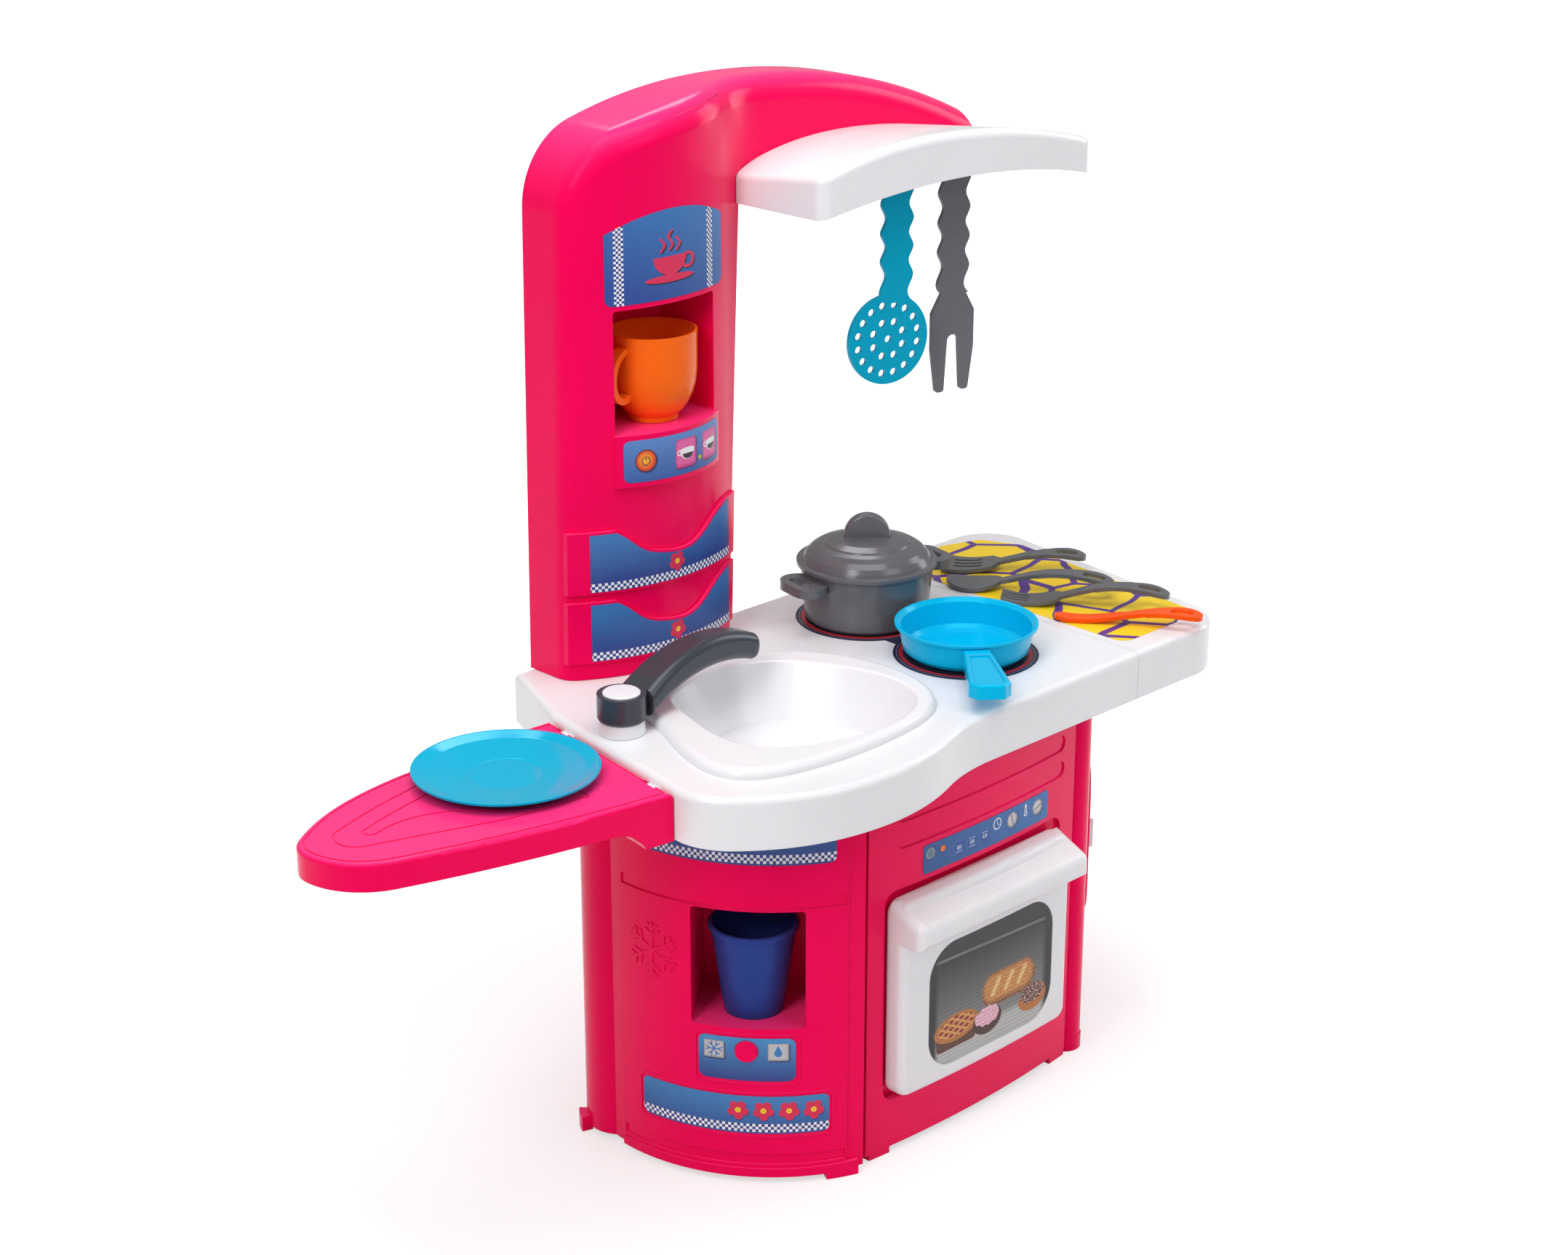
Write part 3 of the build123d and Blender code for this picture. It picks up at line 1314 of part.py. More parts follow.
def hood_canopy():
    block = hood_block(0)
    corners = block.edges().filter_by(Axis.Z).filter_by(lambda e: e.center().Y < 60)
    block = fillet(corners, hood_corner_radius)
    crown = block.edges().filter_by(lambda e: e.center().Z > hood_bottom_z + 20
                                    and e.center().Y < hood_left[1] + hood_corner_radius)
    block = fillet(crown, hood_edge_radius)
    block -= hood_block(wall)
    block -= prism(tower_plan(-seam_gap), 700, 900)
    middle = (hood_left[0] + hood_right[0]) / 2
    arch = ThreePointArc((hood_left[0] - 1, hood_bottom_z), (middle, hood_bottom_z + hood_arch),
                         (hood_right[0] + 1, hood_bottom_z))
    below = outline(arch, Line(arch @ 1, (hood_right[0] + 1, 690.0)),
                    Line((hood_right[0] + 1, 690.0), (hood_left[0] - 1, 690.0)),
                    Line((hood_left[0] - 1, 690.0), arch @ 0))
    return block - through(front_plane(0, 200, 0), below, 300, 0)


def peg_at(position, turn):
    """A hook: a peg that points forwards, square to its utensil, and turns up at its tip."""
    x, y = position
    tip_y = -peg_length / 2 - 1.0
    root_y = rail_y - y + wall / 2
    peg = Pos(0, (root_y + tip_y) / 2, 0) * Rot(90, 0, 0) * Cylinder(peg_radius, root_y - tip_y)
    peg += Pos(0, tip_y, peg_radius) * Cylinder(peg_radius, 2 * peg_radius)
    peg += Pos(0, tip_y, 0) * Sphere(peg_radius)
    return Pos(x, y, peg_z) * Rot(0, 0, turn) * peg


def utensil_hooks():
    """The rail under the hood with a hook for each hanging utensil."""
    roof = hood_block(wall + seam_gap)
    rail_bottom = peg_z - peg_radius - 1.5
    rail = Pos((rail_left_x + rail_right_x) / 2, rail_y + wall / 2, rail_bottom + 30) * Box(
        rail_right_x - rail_left_x, wall, 60)
    rail &= roof
    rail += peg_at(skimmer_position, skimmer_turn)
    return rail + peg_at(hanging_fork_position, hanging_fork_turn)


# ---------------------------------------------------------------- cookware
def cooking_pot():
    r, b, h, t = pot_radius, pot_base_radius, pot_height, cookware_wall
    pot = turned([(0, 0), (b - 3, 0), (b, 3), (r, h - 2), (r + 1.5, h - 2), (r + 1.5, h),
                  (r - t, h), (b - t, 4), (b - t - 2, t), (0, t)])
    for side in (0, 180):
        ring = Pos(r + 9, 0) * SlotOverall(48, 30, rotation=90)
        ring -= Pos(r + 11, 0) * SlotOverall(28, 11, rotation=90)
        keep = Pos(r + 20, 0) * Rectangle(60, 80) - Circle(r - 1.2)
        handle = prism(ring & keep, h - 13, h - 5)
        pot += Rot(0, 0, side) * handle
    return on_hob(pot_position, Rot(0, 0, pot_handle_turn) * pot)


def on_hob(position, part):
    lift = worktop_top + sticker_gap + sticker_thickness + seam_gap
    return Pos(position[0], position[1], lift) * part


def pot_lid():
    r, h = pot_radius, pot_height + seam_gap
    dome = turned([(0, h + 24), (14, h + 23.6), (28, h + 21.8), (36, h + 19.4), (37, h + 18),
                   (43, h + 16.6), (48, h + 13.8), (52, h + 10), (54.4, h + 6), (55.4, h + 3.4),
                   (60.5, h + 3), (60.5, h), (r - 5, h), (50, h + 6), (46, h + 10.6),
                   (40, h + 14), (26, h + 18.2), (0, h + 20.4)])
    knob = Pos(0, 0, h + 24) * Rot(90, 0, 0) * Cylinder(20, 12)
    knob = fillet(knob.edges(), 4)
    knob -= Pos(0, 0, h + 3) * Box(60, 60, 37)
    return on_hob(pot_position, Rot(0, 0, -lid_turn) * (dome + knob))


def frying_pan():
    r, b, h, t = pan_radius, pan_base_radius, pan_height, cookware_wall
    pan = turned([(0, 0), (b - 4, 0), (b + 2, 2), (b + 6, 6), (r - 4, h - 8), (r - 3, h - 3),
                  (r, h - 2), (r, h), (r - 2, h), (r - 5.4, h - 3), (r - 6.4, h - 8),
                  (b + 4, 7), (b, 3.8), (b - 5, t), (0, t)])
    dx = pan_handle_end[0] - pan_position[0]
    dy = pan_handle_end[1] - pan_position[1]
    length = math.hypot(dx, dy)
    half_root, half_end = 11.0, 17.0
    bar = make_face(Polyline((r - 7, -half_root), (length - 8, -half_end), (length, -half_end + 6),
                             (length, half_end - 6), (length - 8, half_end),
                             (r - 7, half_root), close=True))
    panel = make_face(Polyline((r + 12, -half_root + 3), (length - 8, -half_end + 4.5),
                               (length - 8, half_end - 4.5), (r + 12, half_root - 3),
                               close=True))
    low, high = h - 15, h - 3
    handle = prism(bar, low, high)
    edges = handle.edges().filter_by(lambda e: e.center().Z > high - 0.1)
    handle = fillet(edges, 2.5) - prism(panel, high - 1.2, high + 1)
    handle -= turned([(0, 0), (b, 3.8), (b + 4, 7), (r - 6.4, h - 8), (r - 5.4, h - 3),
                      (r - 2, h + 5), (0, h + 5)])
    angle = math.degrees(math.atan2(dy, dx))
    return on_hob(pan_position, Rot(0, 0, angle) * (pan + handle))


def coffee_mug():
    r, b, h, t = mug_radius, mug_foot_radius, mug_height, cookware_wall
    curve = Spline((b, 4.0), (b + 9.0, 15.0), (r, h), tangents=((0.8, 0.6), (0.04, 1.0)))
    inner = Spline((r - t, h), (b + 8.0 - t, 17.5), (b - 5, 4 + t),
                   tangents=((-0.04, -1.0), (-0.9, -0.44)))
    face = outline(Line((0, 0), (b, 0)), Line((b, 0), (b, 4)), curve,
                   Line((r, h), (r - t, h)), inner, Line((b - 5, 4 + t), (0, 4 + t)),
                   Line((0, 4 + t), (0, 0)))
    mug = revolve(Plane.XZ * face, Axis.Z)
    ear = Pos(r + 1, h - 31) * Rot(0, 0, 12) * (Ellipse(17, 23) - Ellipse(11.5, 17.5))
    handle = extrude(Plane(origin=(0, 5, 0), z_dir=(0, -1, 0), x_dir=(1, 0, 0)) * ear, 10,
                     dir=(0, -1, 0))
    solid_inside = revolve(Plane.XZ * outline(
        Line((0, 0), (b - 1, 0)), Line((b - 1, 0), (b - 1, 4)), Spline(
            (b - 1, 4.0), (b + 8.0, 15.5), (r - 1, h), tangents=((0.8, 0.6), (0.04, 1.0))),
        Line((r - 1, h), (r - 1, h + 5)), Line((r - 1, h + 5), (0, h + 5)),
        Line((0, h + 5), (0, 0))), Axis.Z)
    mug += handle - solid_inside
    x, y = mug_position
    return Pos(x, y, coffee_bottom_z + seam_gap) * Rot(0, 0, mug_turn) * mug


def drinking_cup():
    r, b, h, t = cup_radius, cup_base_radius, cup_height, cookware_wall
    cup = turned([(0, 2), (b - 3, 2), (b - 2, 0), (b, 0), (r - 1.5, h - 3), (r + 1, h - 3),
                  (r + 1, h - 1), (r, h), (r - t, h), (b - t + 0.6, t + 2), (0, t + 2)])
    x, y = polar(fridge_centre, fridge_radius - cup_setback, niche_angle)
    return Pos(x, y, niche_bottom_z + seam_gap) * cup


# ---------------------------------------------------------------- utensils
def arched(face, profile_points):
    """A flat outline along X bent to a side profile of points, at the utensil thickness."""
    upper = Spline(*profile_points)
    lower_points = [(x, z - utensil_thickness) for x, z in reversed(profile_points)]
    lower = Spline(*lower_points)
    ribbon = outline(upper, Line(upper @ 1, lower @ 0), lower, Line(lower @ 1, upper @ 0))
    bar = extrude(front_plane(0, 40, 0) * ribbon, 80, dir=(0, -1, 0))
    return prism(face, -20, 60) & bar


def handle_outline(start, end):
    """A utensil's handle in plan: slim at the neck, wide at the end with an oval hole."""
    length = end - start
    neck = start + 0.35 * length
    upper = Spline((start, 5.0), (neck, 6.5), (end - 30, 9.0), (end - 12, 11.0),
                   (end, 0.0), tangents=((1, 0), (0, -1)))
    lower = Spline((end, 0.0), (end - 12, -11.0), (end - 30, -9.0), (neck, -6.5),
                   (start, -5.0), tangents=((0, -1), (-1, 0)))
    hole = Pos(end - 18, 0) * SlotOverall(20, 10)
    return outline(upper, lower, Line(lower @ 1, upper @ 0)) - hole


def lay(part, head, end):
    """Lays a utensil on the extension from its head towards its handle's end."""
    angle = math.degrees(math.atan2(end[1] - head[1], end[0] - head[0]))
    low = worktop_top + sticker_gap + sticker_thickness + seam_gap
    base = part.bounding_box().min.Z
    return Pos(head[0], head[1], low - base) * Rot(0, 0, angle) * part


def spatula():
    head = make_face(Polyline((0, -17), (4, -20), (46, -15), (54, -4), (54, 4), (46, 15), (4, 20),
                              (0, 17), close=True))
    for y in (-8, 0, 8):
        head -= Pos(24, y) * SlotOverall(26, 4)
    face = head + handle_outline(50, 130)
    return lay(arched(face, [(0, 4), (45, 5), (80, 14), (112, 17), (134, 13)]),
               (324.0, 108.0), (400.0, 10.0))


def spoon():
    face = Pos(24, 0) * Ellipse(25, 18) + handle_outline(44, 148)
    return lay(arched(face, [(-4, 10), (22, 4.5), (46, 9), (90, 20), (126, 20), (152, 14)]),
               (293.0, 72.0), (371.0, -54.0))


def table_fork():
    head = Pos(26, 0) * SlotOverall(58, 25)
    head -= Pos(-8, 0) * Rectangle(20, 40)
    for y in (-6, 0, 6):
        head -= Pos(11, y) * SlotOverall(30, 2.6)
    face = head + handle_outline(50, 148)
    return lay(arched(face, [(-1, 9), (24, 4), (52, 9), (92, 20), (126, 20), (152, 14)]),
               (294.0, 12.0), (380.0, -107.0))


def table_knife():
    blade = make_face(Polyline((0, 2), (6, 8), (58, 7), (58, -5), (10, -7), (2, -4), close=True))
    face = blade + handle_outline(54, 127)
    return lay(arched(face, [(-2, 4), (50, 5), (84, 11), (110, 12), (131, 9)]),
               (292.0, -52.0), (361.0, -151.0))


def wavy_handle(length, width):
    """A hanging utensil's handle, front view from the hook end down, its sides wavy."""
    steps = 9
    half = width / 2
    right = [(half + (2.2 if i % 2 else -2.2), -length * i / steps) for i in range(steps + 1)]
    left = [(-half + (2.2 if i % 2 else -2.2), -length * i / steps)
            for i in range(steps, -1, -1)]
    right_edge = Spline(*right)
    left_edge = Spline(*left)
    return outline(right_edge, Line(right_edge @ 1, left_edge @ 0), left_edge,
                   Line(left_edge @ 1, right_edge @ 0))


def hung(face, position, turn):
    """Hangs a front-view outline, whose hook hole is at its origin, on a peg."""
    x, y = position
    hole = Circle(peg_radius + peg_hole_clearance)
    drop = peg_hole_clearance - peg_play
    part = extrude(front_plane(0, utensil_thickness / 2, -drop) * (face - hole),
                   utensil_thickness, dir=(0, -1, 0))
    return Pos(x, y, peg_z) * Rot(0, 0, turn) * part


def hanging_skimmer():
    face = Pos(0, 7) * wavy_handle(105, hanging_handle_width)
    disc = Pos(-8, -128) * Circle(38)
    for count, radius in ((1, 0), (8, 15), (16, 29)):
        for i in range(count):
            angle = 2 * math.pi * (i + 0.5) / count
            spot = (-8 + radius * math.cos(angle), -128 + radius * math.sin(angle))
            disc -= Pos(*spot) * Circle(3.2)
    return hung(face + disc, skimmer_position, skimmer_turn)


def hanging_fork():
    face = Pos(0, 7) * wavy_handle(110, hanging_handle_width)
    head = Polyline((-11, -100), (11, -100), (21, -118), (21, -150), (16, -187), (8, -187),
                    (5, -138), (-5, -138), (-8, -187), (-16, -187), (-21, -150), (-21, -118),
                    close=True)
    prongs = make_face(head)
    shoulders = prongs.vertices().filter_by(lambda v: -160 < v.Y < -110)
    prongs = fillet(shoulders, 5.0)
    prongs = fillet(prongs.vertices().filter_by(lambda v: v.Y < -180), 3.0)
    return hung(face + prongs, hanging_fork_position, hanging_fork_turn)


# ---------------------------------------------------------------- the whole kitchen
def kitchen():
    """Every piece of the kitchen by the name of its node."""
    return {
        "fridge_front_panel": fridge_front_panel(),
        "oven_front_panel": oven_front_panel(),
        "washer_side_panel": washer_side_panel(),
        "back_panel": back_panel(),
        "back_screws": back_screws(),
        "base_deck": base_deck(),
        "oven_cavity": oven_cavity(),
        "oven_door": oven_door(),
        "oven_window_print": oven_window_print(),
        "oven_control_sticker": oven_control_sticker(),
        "fridge_top_sticker": fridge_top_sticker(),
        "dispenser_sticker": dispenser_sticker(),
        "flower_sticker": flower_sticker(),
        "washer_door": washer_door(),
        "washer_window": washer_window(),
        "washer_hinge_pin": washer_hinge_pin(),
        "washer_sticker": washer_sticker(),
        "sink_worktop": worktop(),
        "worktop_extension": worktop_extension(),
        "extension_sticker": extension_sticker(),
        "hob_sticker": hob_sticker(),
        "tap_post": tap_post(),
        "tap_spout": tap_spout(),
        "tap_cap": tap_cap(),
        "side_table": side_table(),
        "tower_front_shell": tower_front_shell(),
        "tower_back_cover": tower_back_cover(),
        "coffee_sticker": coffee_sticker(),
        "coffee_control_sticker": coffee_control_sticker(),
        "drawer_lower_sticker": drawer_sticker(drawer_bottoms[0]),
        "drawer_upper_sticker": drawer_sticker(drawer_bottoms[1]),
        "hood_canopy": hood_canopy(),
        "utensil_hooks": utensil_hooks(),
        "cooking_pot": cooking_pot(),
        "pot_lid": pot_lid(),
        "frying_pan": frying_pan(),
        "coffee_mug": coffee_mug(),
        "drinking_cup": drinking_cup(),
        "plate": plate(),
        "spatula": spatula(),
        "spoon": spoon(),
        "table_fork": table_fork(),
        "table_knife": table_knife(),
        "hanging_skimmer": hanging_skimmer(),
        "hanging_fork": hanging_fork(),
    }


def main():
    os.makedirs("parts", exist_ok=True)
    for name, part in kitchen().items():
        moved = [Pos(-origin_x, -origin_y, 0) * solid for solid in part.solids()]
        export_step(Compound(children=moved), f"parts/{name}.step")


main()
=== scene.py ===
"""Dresses the toy kitchen: its moulded plastics, its printed films, and the room it stands in.

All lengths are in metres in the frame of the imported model: +Z up, +X along the worktop, -Y to
the front, and the origin on the floor under the middle of the kitchen. The prints are drawn in
millimetres on the face of each sticker.
"""

import logging
import math
from dataclasses import dataclass, field
from enum import Enum
from typing import Dict, Optional, Tuple, Union

import bpy
import numpy as np
from mathutils import Matrix, Vector


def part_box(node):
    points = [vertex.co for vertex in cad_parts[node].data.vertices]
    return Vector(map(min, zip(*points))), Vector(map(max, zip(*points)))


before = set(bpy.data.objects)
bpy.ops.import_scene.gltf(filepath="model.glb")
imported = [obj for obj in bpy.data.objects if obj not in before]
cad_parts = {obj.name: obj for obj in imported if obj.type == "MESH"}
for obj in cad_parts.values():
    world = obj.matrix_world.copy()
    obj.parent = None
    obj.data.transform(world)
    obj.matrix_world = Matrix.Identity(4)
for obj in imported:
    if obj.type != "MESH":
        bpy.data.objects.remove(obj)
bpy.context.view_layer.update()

log = logging.getLogger("toy_kitchen")

Colour = Tuple[float, float, float]
Number = Union[int, float]
Point = Tuple[float, float, float]
Spot = Tuple[float, float]
Material = bpy.types.Material

MM = 0.001


def colour(red: int, green: int, blue: int) -> Colour:
    """The linear colour of a paint given by its 8-bit screen values."""
    parts = []
    for value in (red, green, blue):
        share = value / 255.0
        parts.append(share / 12.92 if share <= 0.04045 else ((share + 0.055) / 1.055) ** 2.4)
    return (parts[0], parts[1], parts[2])


# ------------------------------------------------------------------------------ shader maths
class Value:
    """A number that varies over a surface, held as the output socket of a shader node."""

    def __init__(self, tree: "Tree", socket: bpy.types.NodeSocket) -> None:
        """Wraps a socket.

        Args:
            tree: The material's tree, which makes the nodes that the arithmetic needs.
            socket: The output that carries the number.
        """
        self.tree = tree
        self.socket = socket

    def _math(self, operation: str, *others: Union["Value", Number], clamp: bool = False,
              first: Optional[Union["Value", Number]] = None) -> "Value":
        """Adds one Math node.

        Args:
            operation: The node's operation.
            others: What follows this value in the node's inputs.
            clamp: Whether the result is kept between 0 and 1.
            first: What stands before this value, for a reflected operator.

        Returns:
            The node's result.
        """
        parts = [self, *others] if first is None else [first, self]
        inputs = {index: part for index, part in enumerate(parts)}
        settings = {"operation": operation, "use_clamp": clamp}
        return self.tree.node("ShaderNodeMath", settings, inputs)

    def __add__(self, other: Union["Value", Number]) -> "Value":
        """The sum."""
        return self._math("ADD", other)

    __radd__ = __add__

    def __sub__(self, other: Union["Value", Number]) -> "Value":
        """The difference."""
        return self._math("SUBTRACT", other)

    def __rsub__(self, other: Union["Value", Number]) -> "Value":
        """The difference, with this value taken away."""
        return self._math("SUBTRACT", first=other)

    def __mul__(self, other: Union["Value", Number]) -> "Value":
        """The product."""
        return self._math("MULTIPLY", other)

    __rmul__ = __mul__

    def __truediv__(self, other: Union["Value", Number]) -> "Value":
        """The quotient."""
        return self._math("DIVIDE", other)

    def __rtruediv__(self, other: Union["Value", Number]) -> "Value":
        """The quotient, with this value below the line."""
        return self._math("DIVIDE", first=other)

    def __neg__(self) -> "Value":
        """The value with its sign changed."""
        return self._math("MULTIPLY", -1.0)

    def __abs__(self) -> "Value":
        """The size without its sign."""
        return self._math("ABSOLUTE")

    def low(self, other: Union["Value", Number]) -> "Value":
        """The lower of two values: where either shape is, for distances."""
        return self._math("MINIMUM", other)

    def high(self, other: Union["Value", Number]) -> "Value":
        """The higher of two values: where both shapes are, for distances."""
        return self._math("MAXIMUM", other)

    def cosine(self) -> "Value":
        """The cosine of an angle in radians."""
        return self._math("COSINE")

    def sine(self) -> "Value":
        """The sine of an angle in radians."""
        return self._math("SINE")

    def root(self) -> "Value":
        """The square root."""
        return self._math("SQRT")

    def angle_from(self, other: "Value") -> "Value":
        """The angle of the point whose height is this value and whose run is the other."""
        return self._math("ARCTAN2", other)

    def wrapped(self, high: Number, low: Number) -> "Value":
        """The value carried round into one period."""
        return self._math("WRAP", high, low)

    def mask(self, soft: Number = 0.12) -> "Value":
        """1 where a distance is negative and 0 where it is positive, over a soft edge."""
        return self._math("MULTIPLY_ADD", -1.0 / soft, 0.5, clamp=True)

    def clamped(self) -> "Value":
        """The value kept between 0 and 1."""
        return self._math("ADD", 0.0, clamp=True)


Amount = Union[Value, Number]
Ink = Union[Value, Colour]


class Tree:
    """One material's nodes."""

    def __init__(self, name: str) -> None:
        """Starts a material with one Principled shader.

        Args:
            name: The material's name.
        """
        self.material = bpy.data.materials.new(name)
        self.material.use_nodes = True
        self.nodes = self.material.node_tree.nodes
        self.links = self.material.node_tree.links
        self.nodes.clear()
        self.shader = self.nodes.new("ShaderNodeBsdfPrincipled")
        output = self.nodes.new("ShaderNodeOutputMaterial")
        self.links.new(self.shader.outputs[0], output.inputs[0])

    def node(self, kind: str, settings: Optional[Dict[str, object]] = None,
             inputs: Optional[Dict[Union[int, str], object]] = None,
             output: Union[int, str] = 0) -> Value:
        """Adds a node of any kind.

        Args:
            kind: The node's type name.
            settings: Its settings, which are set before its sockets.
            inputs: Its sockets' values, or the values that are linked to them.
            output: The socket that is returned.

        Returns:
            The output as a value.
        """
        made = self.nodes.new(kind)
        for key, setting in (settings or {}).items():
            setattr(made, key, setting)
        for key, entry in (inputs or {}).items():
            self._feed(made.inputs[key], entry)
        return Value(self, made.outputs[output])

    def _feed(self, socket: bpy.types.NodeSocket, entry: object) -> None:
        """Links a value to a socket, or sets its number or colour."""
        if isinstance(entry, Value):
            self.links.new(entry.socket, socket)
        elif isinstance(entry, tuple) and len(entry) == 3 and len(socket.default_value) == 4:
            socket.default_value = (*entry, 1.0)
        else:
            socket.default_value = entry

    def place(self) -> Value:
        """The point on the piece, in the frame's metres."""
        return self.node("ShaderNodeTexCoord", output="Object")

    def parts(self, vector: Value) -> Tuple[Value, Value, Value]:
        """A vector's three numbers."""
        split = self.node("ShaderNodeSeparateXYZ", inputs={0: vector})
        outputs = split.socket.node.outputs
        return (Value(self, outputs[0]), Value(self, outputs[1]), Value(self, outputs[2]))

    def joined(self, x: Amount, y: Amount,
               z: Amount = 0.0) -> Value:
        """A vector from three numbers."""
        return self.node("ShaderNodeCombineXYZ", inputs={0: x, 1: y, 2: z})

    def vector(self, operation: str, first: Value, second: Union[Value, Point] = (0.0, 0.0, 0.0),
               number: bool = False) -> Value:
        """A vector sum.

        Args:
            operation: The Vector Math operation.
            first: The first vector.
            second: The second vector.
            number: Whether the result is a number, such as a distance.

        Returns:
            The result.
        """
        return self.node("ShaderNodeVectorMath", {"operation": operation},
                         {0: first, 1: second}, output=1 if number else 0)

    def mix(self, share: Amount, under: Ink,
            over: Ink) -> Value:
        """One colour over another.

        Args:
            share: How much of the upper colour shows, from 0 to 1.
            under: The lower colour.
            over: The upper colour.

        Returns:
            The mixed colour.
        """
        return self.node("ShaderNodeMix", {"data_type": "RGBA"}, {0: share, 6: under, 7: over},
                         output=2)

    def noise(self, place: Value, scale: Number, detail: Number = 2.0,
              roughness: Number = 0.5) -> Value:
        """Cloudy noise between 0 and 1, with its scale in cycles for each metre."""
        return self.node("ShaderNodeTexNoise", {"noise_dimensions": "3D"},
                         {"Vector": place, "Scale": scale, "Detail": detail,
                          "Roughness": roughness})

    def bump(self, height: Value, strength: Number, distance: Number,
             normal: Optional[Value] = None) -> Value:
        """A normal that follows a height."""
        inputs: Dict[Union[int, str], object] = {
            "Height": height, "Strength": strength, "Distance": distance}
        if normal is not None:
            inputs["Normal"] = normal
        return self.node("ShaderNodeBump", None, inputs)

    def finish(self, **sockets: object) -> Material:
        """Sets the shader's sockets, with underscores for the spaces in their names.

        Args:
            sockets: The values or links by name.

        Returns:
            The material.
        """
        for key, entry in sockets.items():
            self._feed(self.shader.inputs[key.replace("_", " ")], entry)
        return self.material


# ------------------------------------------------------------------------------ finishes
class Paint(Enum):
    """The colours of the plastics and the inks."""

    PINK = colour(250, 2, 88)
    # A paler pink painted onto upward faces: painted light from above.
    PINK_PAINTED_TOP_LIGHT = colour(255, 56, 132)
    WHITE = colour(236, 236, 239)
    GREY = colour(98, 99, 103)
    DARK_GREY = colour(60, 63, 69)
    SKY = colour(0, 186, 232)
    TURQUOISE = colour(0, 176, 214)
    TEAL = colour(0, 160, 194)
    ORANGE = colour(255, 88, 16)
    AMBER = colour(255, 108, 24)
    VIOLET = colour(40, 62, 136)
    STEEL = colour(186, 188, 192)
    INK_BLUE = colour(38, 98, 170)
    INK_DEEP_BLUE = colour(34, 84, 150)
    INK_NAVY = colour(28, 56, 132)
    INK_SKY = colour(62, 138, 196)
    INK_WHITE = colour(238, 236, 242)
    INK_RED = colour(216, 22, 72)
    INK_YELLOW = colour(250, 214, 20)
    INK_PURPLE = colour(88, 48, 142)
    INK_BLACK = colour(26, 26, 32)
    INK_SILVER = colour(190, 188, 190)


@dataclass(frozen=True)
class MouldedPlastic:
    """Injection-moulded plastic: a faint mould grain, slow ripples and uneven gloss, and optionally
    painted light that pales upward faces.

    Attributes:
        name: The material's name.
        tint: The plastic's colour.
        roughness: The mean roughness.
        ripple: The height of the slow waves that bend reflections, in metres.
        grain: The height of the fine mould grain, in metres.
        edge: The radius by which bare edges look rounded, in metres.
        glow: The share of light that scatters inside the wall.
        index: The refractive index, which sets how strongly the surface mirrors.
        painted_top_light: The paler colour painted onto upward faces as painted light from above,
            if any.
    """

    name: str
    tint: Colour
    roughness: float = 0.26
    ripple: float = 0.00035
    grain: float = 0.000012
    edge: float = 0.0007
    glow: float = 0.0
    index: float = 1.49
    painted_top_light: Optional[Colour] = None

    def material(self) -> Material:
        """Builds the material."""
        tree = Tree(self.name)
        place = tree.place()
        cloud = tree.noise(place, 9.0, 3.0, 0.6)
        fine = tree.noise(place, 1300.0, 2.0, 0.6)
        scuff = tree.noise(place, 60.0, 4.0, 0.7)
        deep = tuple(part * 0.93 for part in self.tint)
        pale = tuple(min(1.0, part * 1.035 + 0.002) for part in self.tint)
        tint = tree.mix(cloud, deep, pale)
        # Painted light: upward faces are blended towards a paler colour, standing in for the
        # brighter tops that light from above gives.
        if self.painted_top_light is not None:
            rise = tree.parts(tree.node("ShaderNodeNewGeometry", output="Normal"))[2].clamped()
            tint = tree.mix(rise * rise * (0.8 + cloud * 0.2), tint, self.painted_top_light)
        most = max(self.tint)
        # Seen head on, the gloss takes nearly the plastic's own colour.
        mirror = tuple(0.06 + 0.94 * part / most for part in self.tint)
        rounded = tree.node("ShaderNodeBevel", {"samples": 4}, {"Radius": self.edge})
        waves = tree.bump(tree.noise(place, 16.0, 1.0, 0.4), 1.0, self.ripple, rounded)
        normal = tree.bump(fine, 1.0, self.grain, waves)
        gloss = self.roughness + (scuff - 0.5) * 0.12 + (cloud - 0.5) * 0.06
        sockets = {"Base_Color": tint, "Roughness": gloss, "Normal": normal, "IOR": self.index,
                   "Specular_Tint": mirror, "Subsurface_Weight": self.glow,
                   "Subsurface_Scale": 0.004}
        return tree.finish(**sockets)


@dataclass(frozen=True)
class ClearPlastic:
    """Clear moulded plastic with a few fine scuffs."""

    name: str = "clear_plastic"

    def material(self) -> Material:
        """Builds the material."""
        tree = Tree(self.name)
        scuff = tree.noise(tree.place(), 90.0, 4.0, 0.7)
        return tree.finish(Base_Color=colour(224, 232, 238), Roughness=0.06 + scuff * 0.1,
                           IOR=1.49, Transmission_Weight=0.9)


@dataclass(frozen=True)
class PlatedSteel:
    """Zinc-plated steel, lightly mottled."""

    name: str = "plated_steel"

    def material(self) -> Material:
        """Builds the material."""
        tree = Tree(self.name)
        place = tree.place()
        cloud = tree.noise(place, 420.0, 3.0, 0.6)
        tint = tree.mix(cloud, colour(160, 162, 168), Paint.STEEL.value)
        return tree.finish(Base_Color=tint, Metallic=1.0, Roughness=0.28 + cloud * 0.15)


